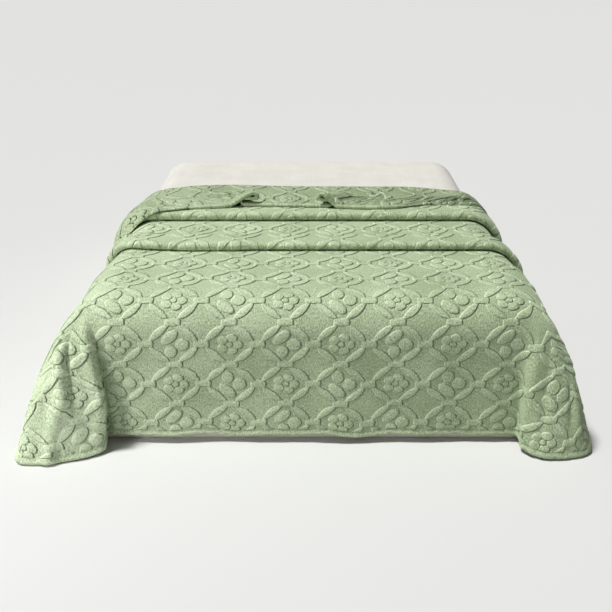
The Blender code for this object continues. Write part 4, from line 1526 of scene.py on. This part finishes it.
# %% [markdown]
# ## Floor and light
#
# The photograph has a white ground and soft light. A large soft box high above and a little to the left
# lights the top and casts the short shade under each lip. A sun lamp with a wide disc stands for it. A second
# box, a small one to the left of the camera and nearer the floor, makes the left cone the brightest part and
# leaves the right one dull. The white floor throws the rest back up.
#
# The view transform is Standard, which shows colours as they are. The usual one would grey the white ground
# and dull the pale green.

# %% Lay the floor and hang the lamps
FLOOR_SIZE = 120.0
FLOOR_WHITE = "#CFCFCD"
USUAL_SHINE = 0.5
HIGH_LAMP_TOWARDS = (-0.36, -0.06, 0.93)
HIGH_LAMP_STRENGTH = 3.8
HIGH_LAMP_WIDTH = math.radians(10.0)
SIDE_LAMP_PLACE = (-3.0, FOOT_Y - 2.0, 1.2)
SIDE_LAMP_TARGET = (-0.9, FOOT_Y, 0.05)
SIDE_LAMP_POWER = 5.0
SIDE_LAMP_SIZE = 0.7
SIDE_LAMP_SPREAD = math.radians(60.0)
SKY_STRENGTH = 0.12

bpy.ops.mesh.primitive_plane_add(size=FLOOR_SIZE, location=(0.0, 0.0, 0.0))
floor = bpy.context.active_object
floor.name = "floor"
floor_material, _, floor_shader = new_material("matt_white_paint", DULL_ROUGHNESS, USUAL_SHINE)
floor_shader.inputs["Base Color"].default_value = linear(FLOOR_WHITE)
floor.data.materials.append(floor_material)
floor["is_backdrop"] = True


def hang_lamp(name, kind, place, back, settings):
    """Hang a lamp in its place, with its back turned to a direction."""
    data = bpy.data.lights.new(name, kind)
    for setting, value in settings.items():
        setattr(data, setting, value)
    lamp = put(name, data)
    lamp.location = place
    lamp.rotation_euler = back.to_track_quat("Z", "Y").to_euler()


hang_lamp("soft_light_above", "SUN", (0.0, 0.0, 0.0), Vector(HIGH_LAMP_TOWARDS),
          {"energy": HIGH_LAMP_STRENGTH, "angle": HIGH_LAMP_WIDTH})
from_target = Vector(SIDE_LAMP_PLACE) - Vector(SIDE_LAMP_TARGET)
hang_lamp("soft_box_on_the_left", "AREA", SIDE_LAMP_PLACE, from_target,
          {"energy": SIDE_LAMP_POWER, "size": SIDE_LAMP_SIZE, "spread": SIDE_LAMP_SPREAD})

world = bpy.data.worlds.new("pale_sky")
world.use_nodes = True
sky = world.node_tree.nodes["Background"].inputs
sky["Color"].default_value = linear("#FFFFFF")
sky["Strength"].default_value = SKY_STRENGTH
bpy.context.scene.world = world
bpy.context.scene.view_settings.view_transform = "Standard"
print(f"the lamp on the left is {from_target.length:.2f} metres from what it is aimed at")

# %% [markdown]
# ## The dressed size
#
# The box round everything shown but the floor is printed, from its low corner to its high one.

# %% Print the box's two corners
dressed_low, dressed_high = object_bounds()
for title, box_corner in (("from", dressed_low), ("to", dressed_high)):
    print("dressed", title, [round(value, 3) for value in box_corner])
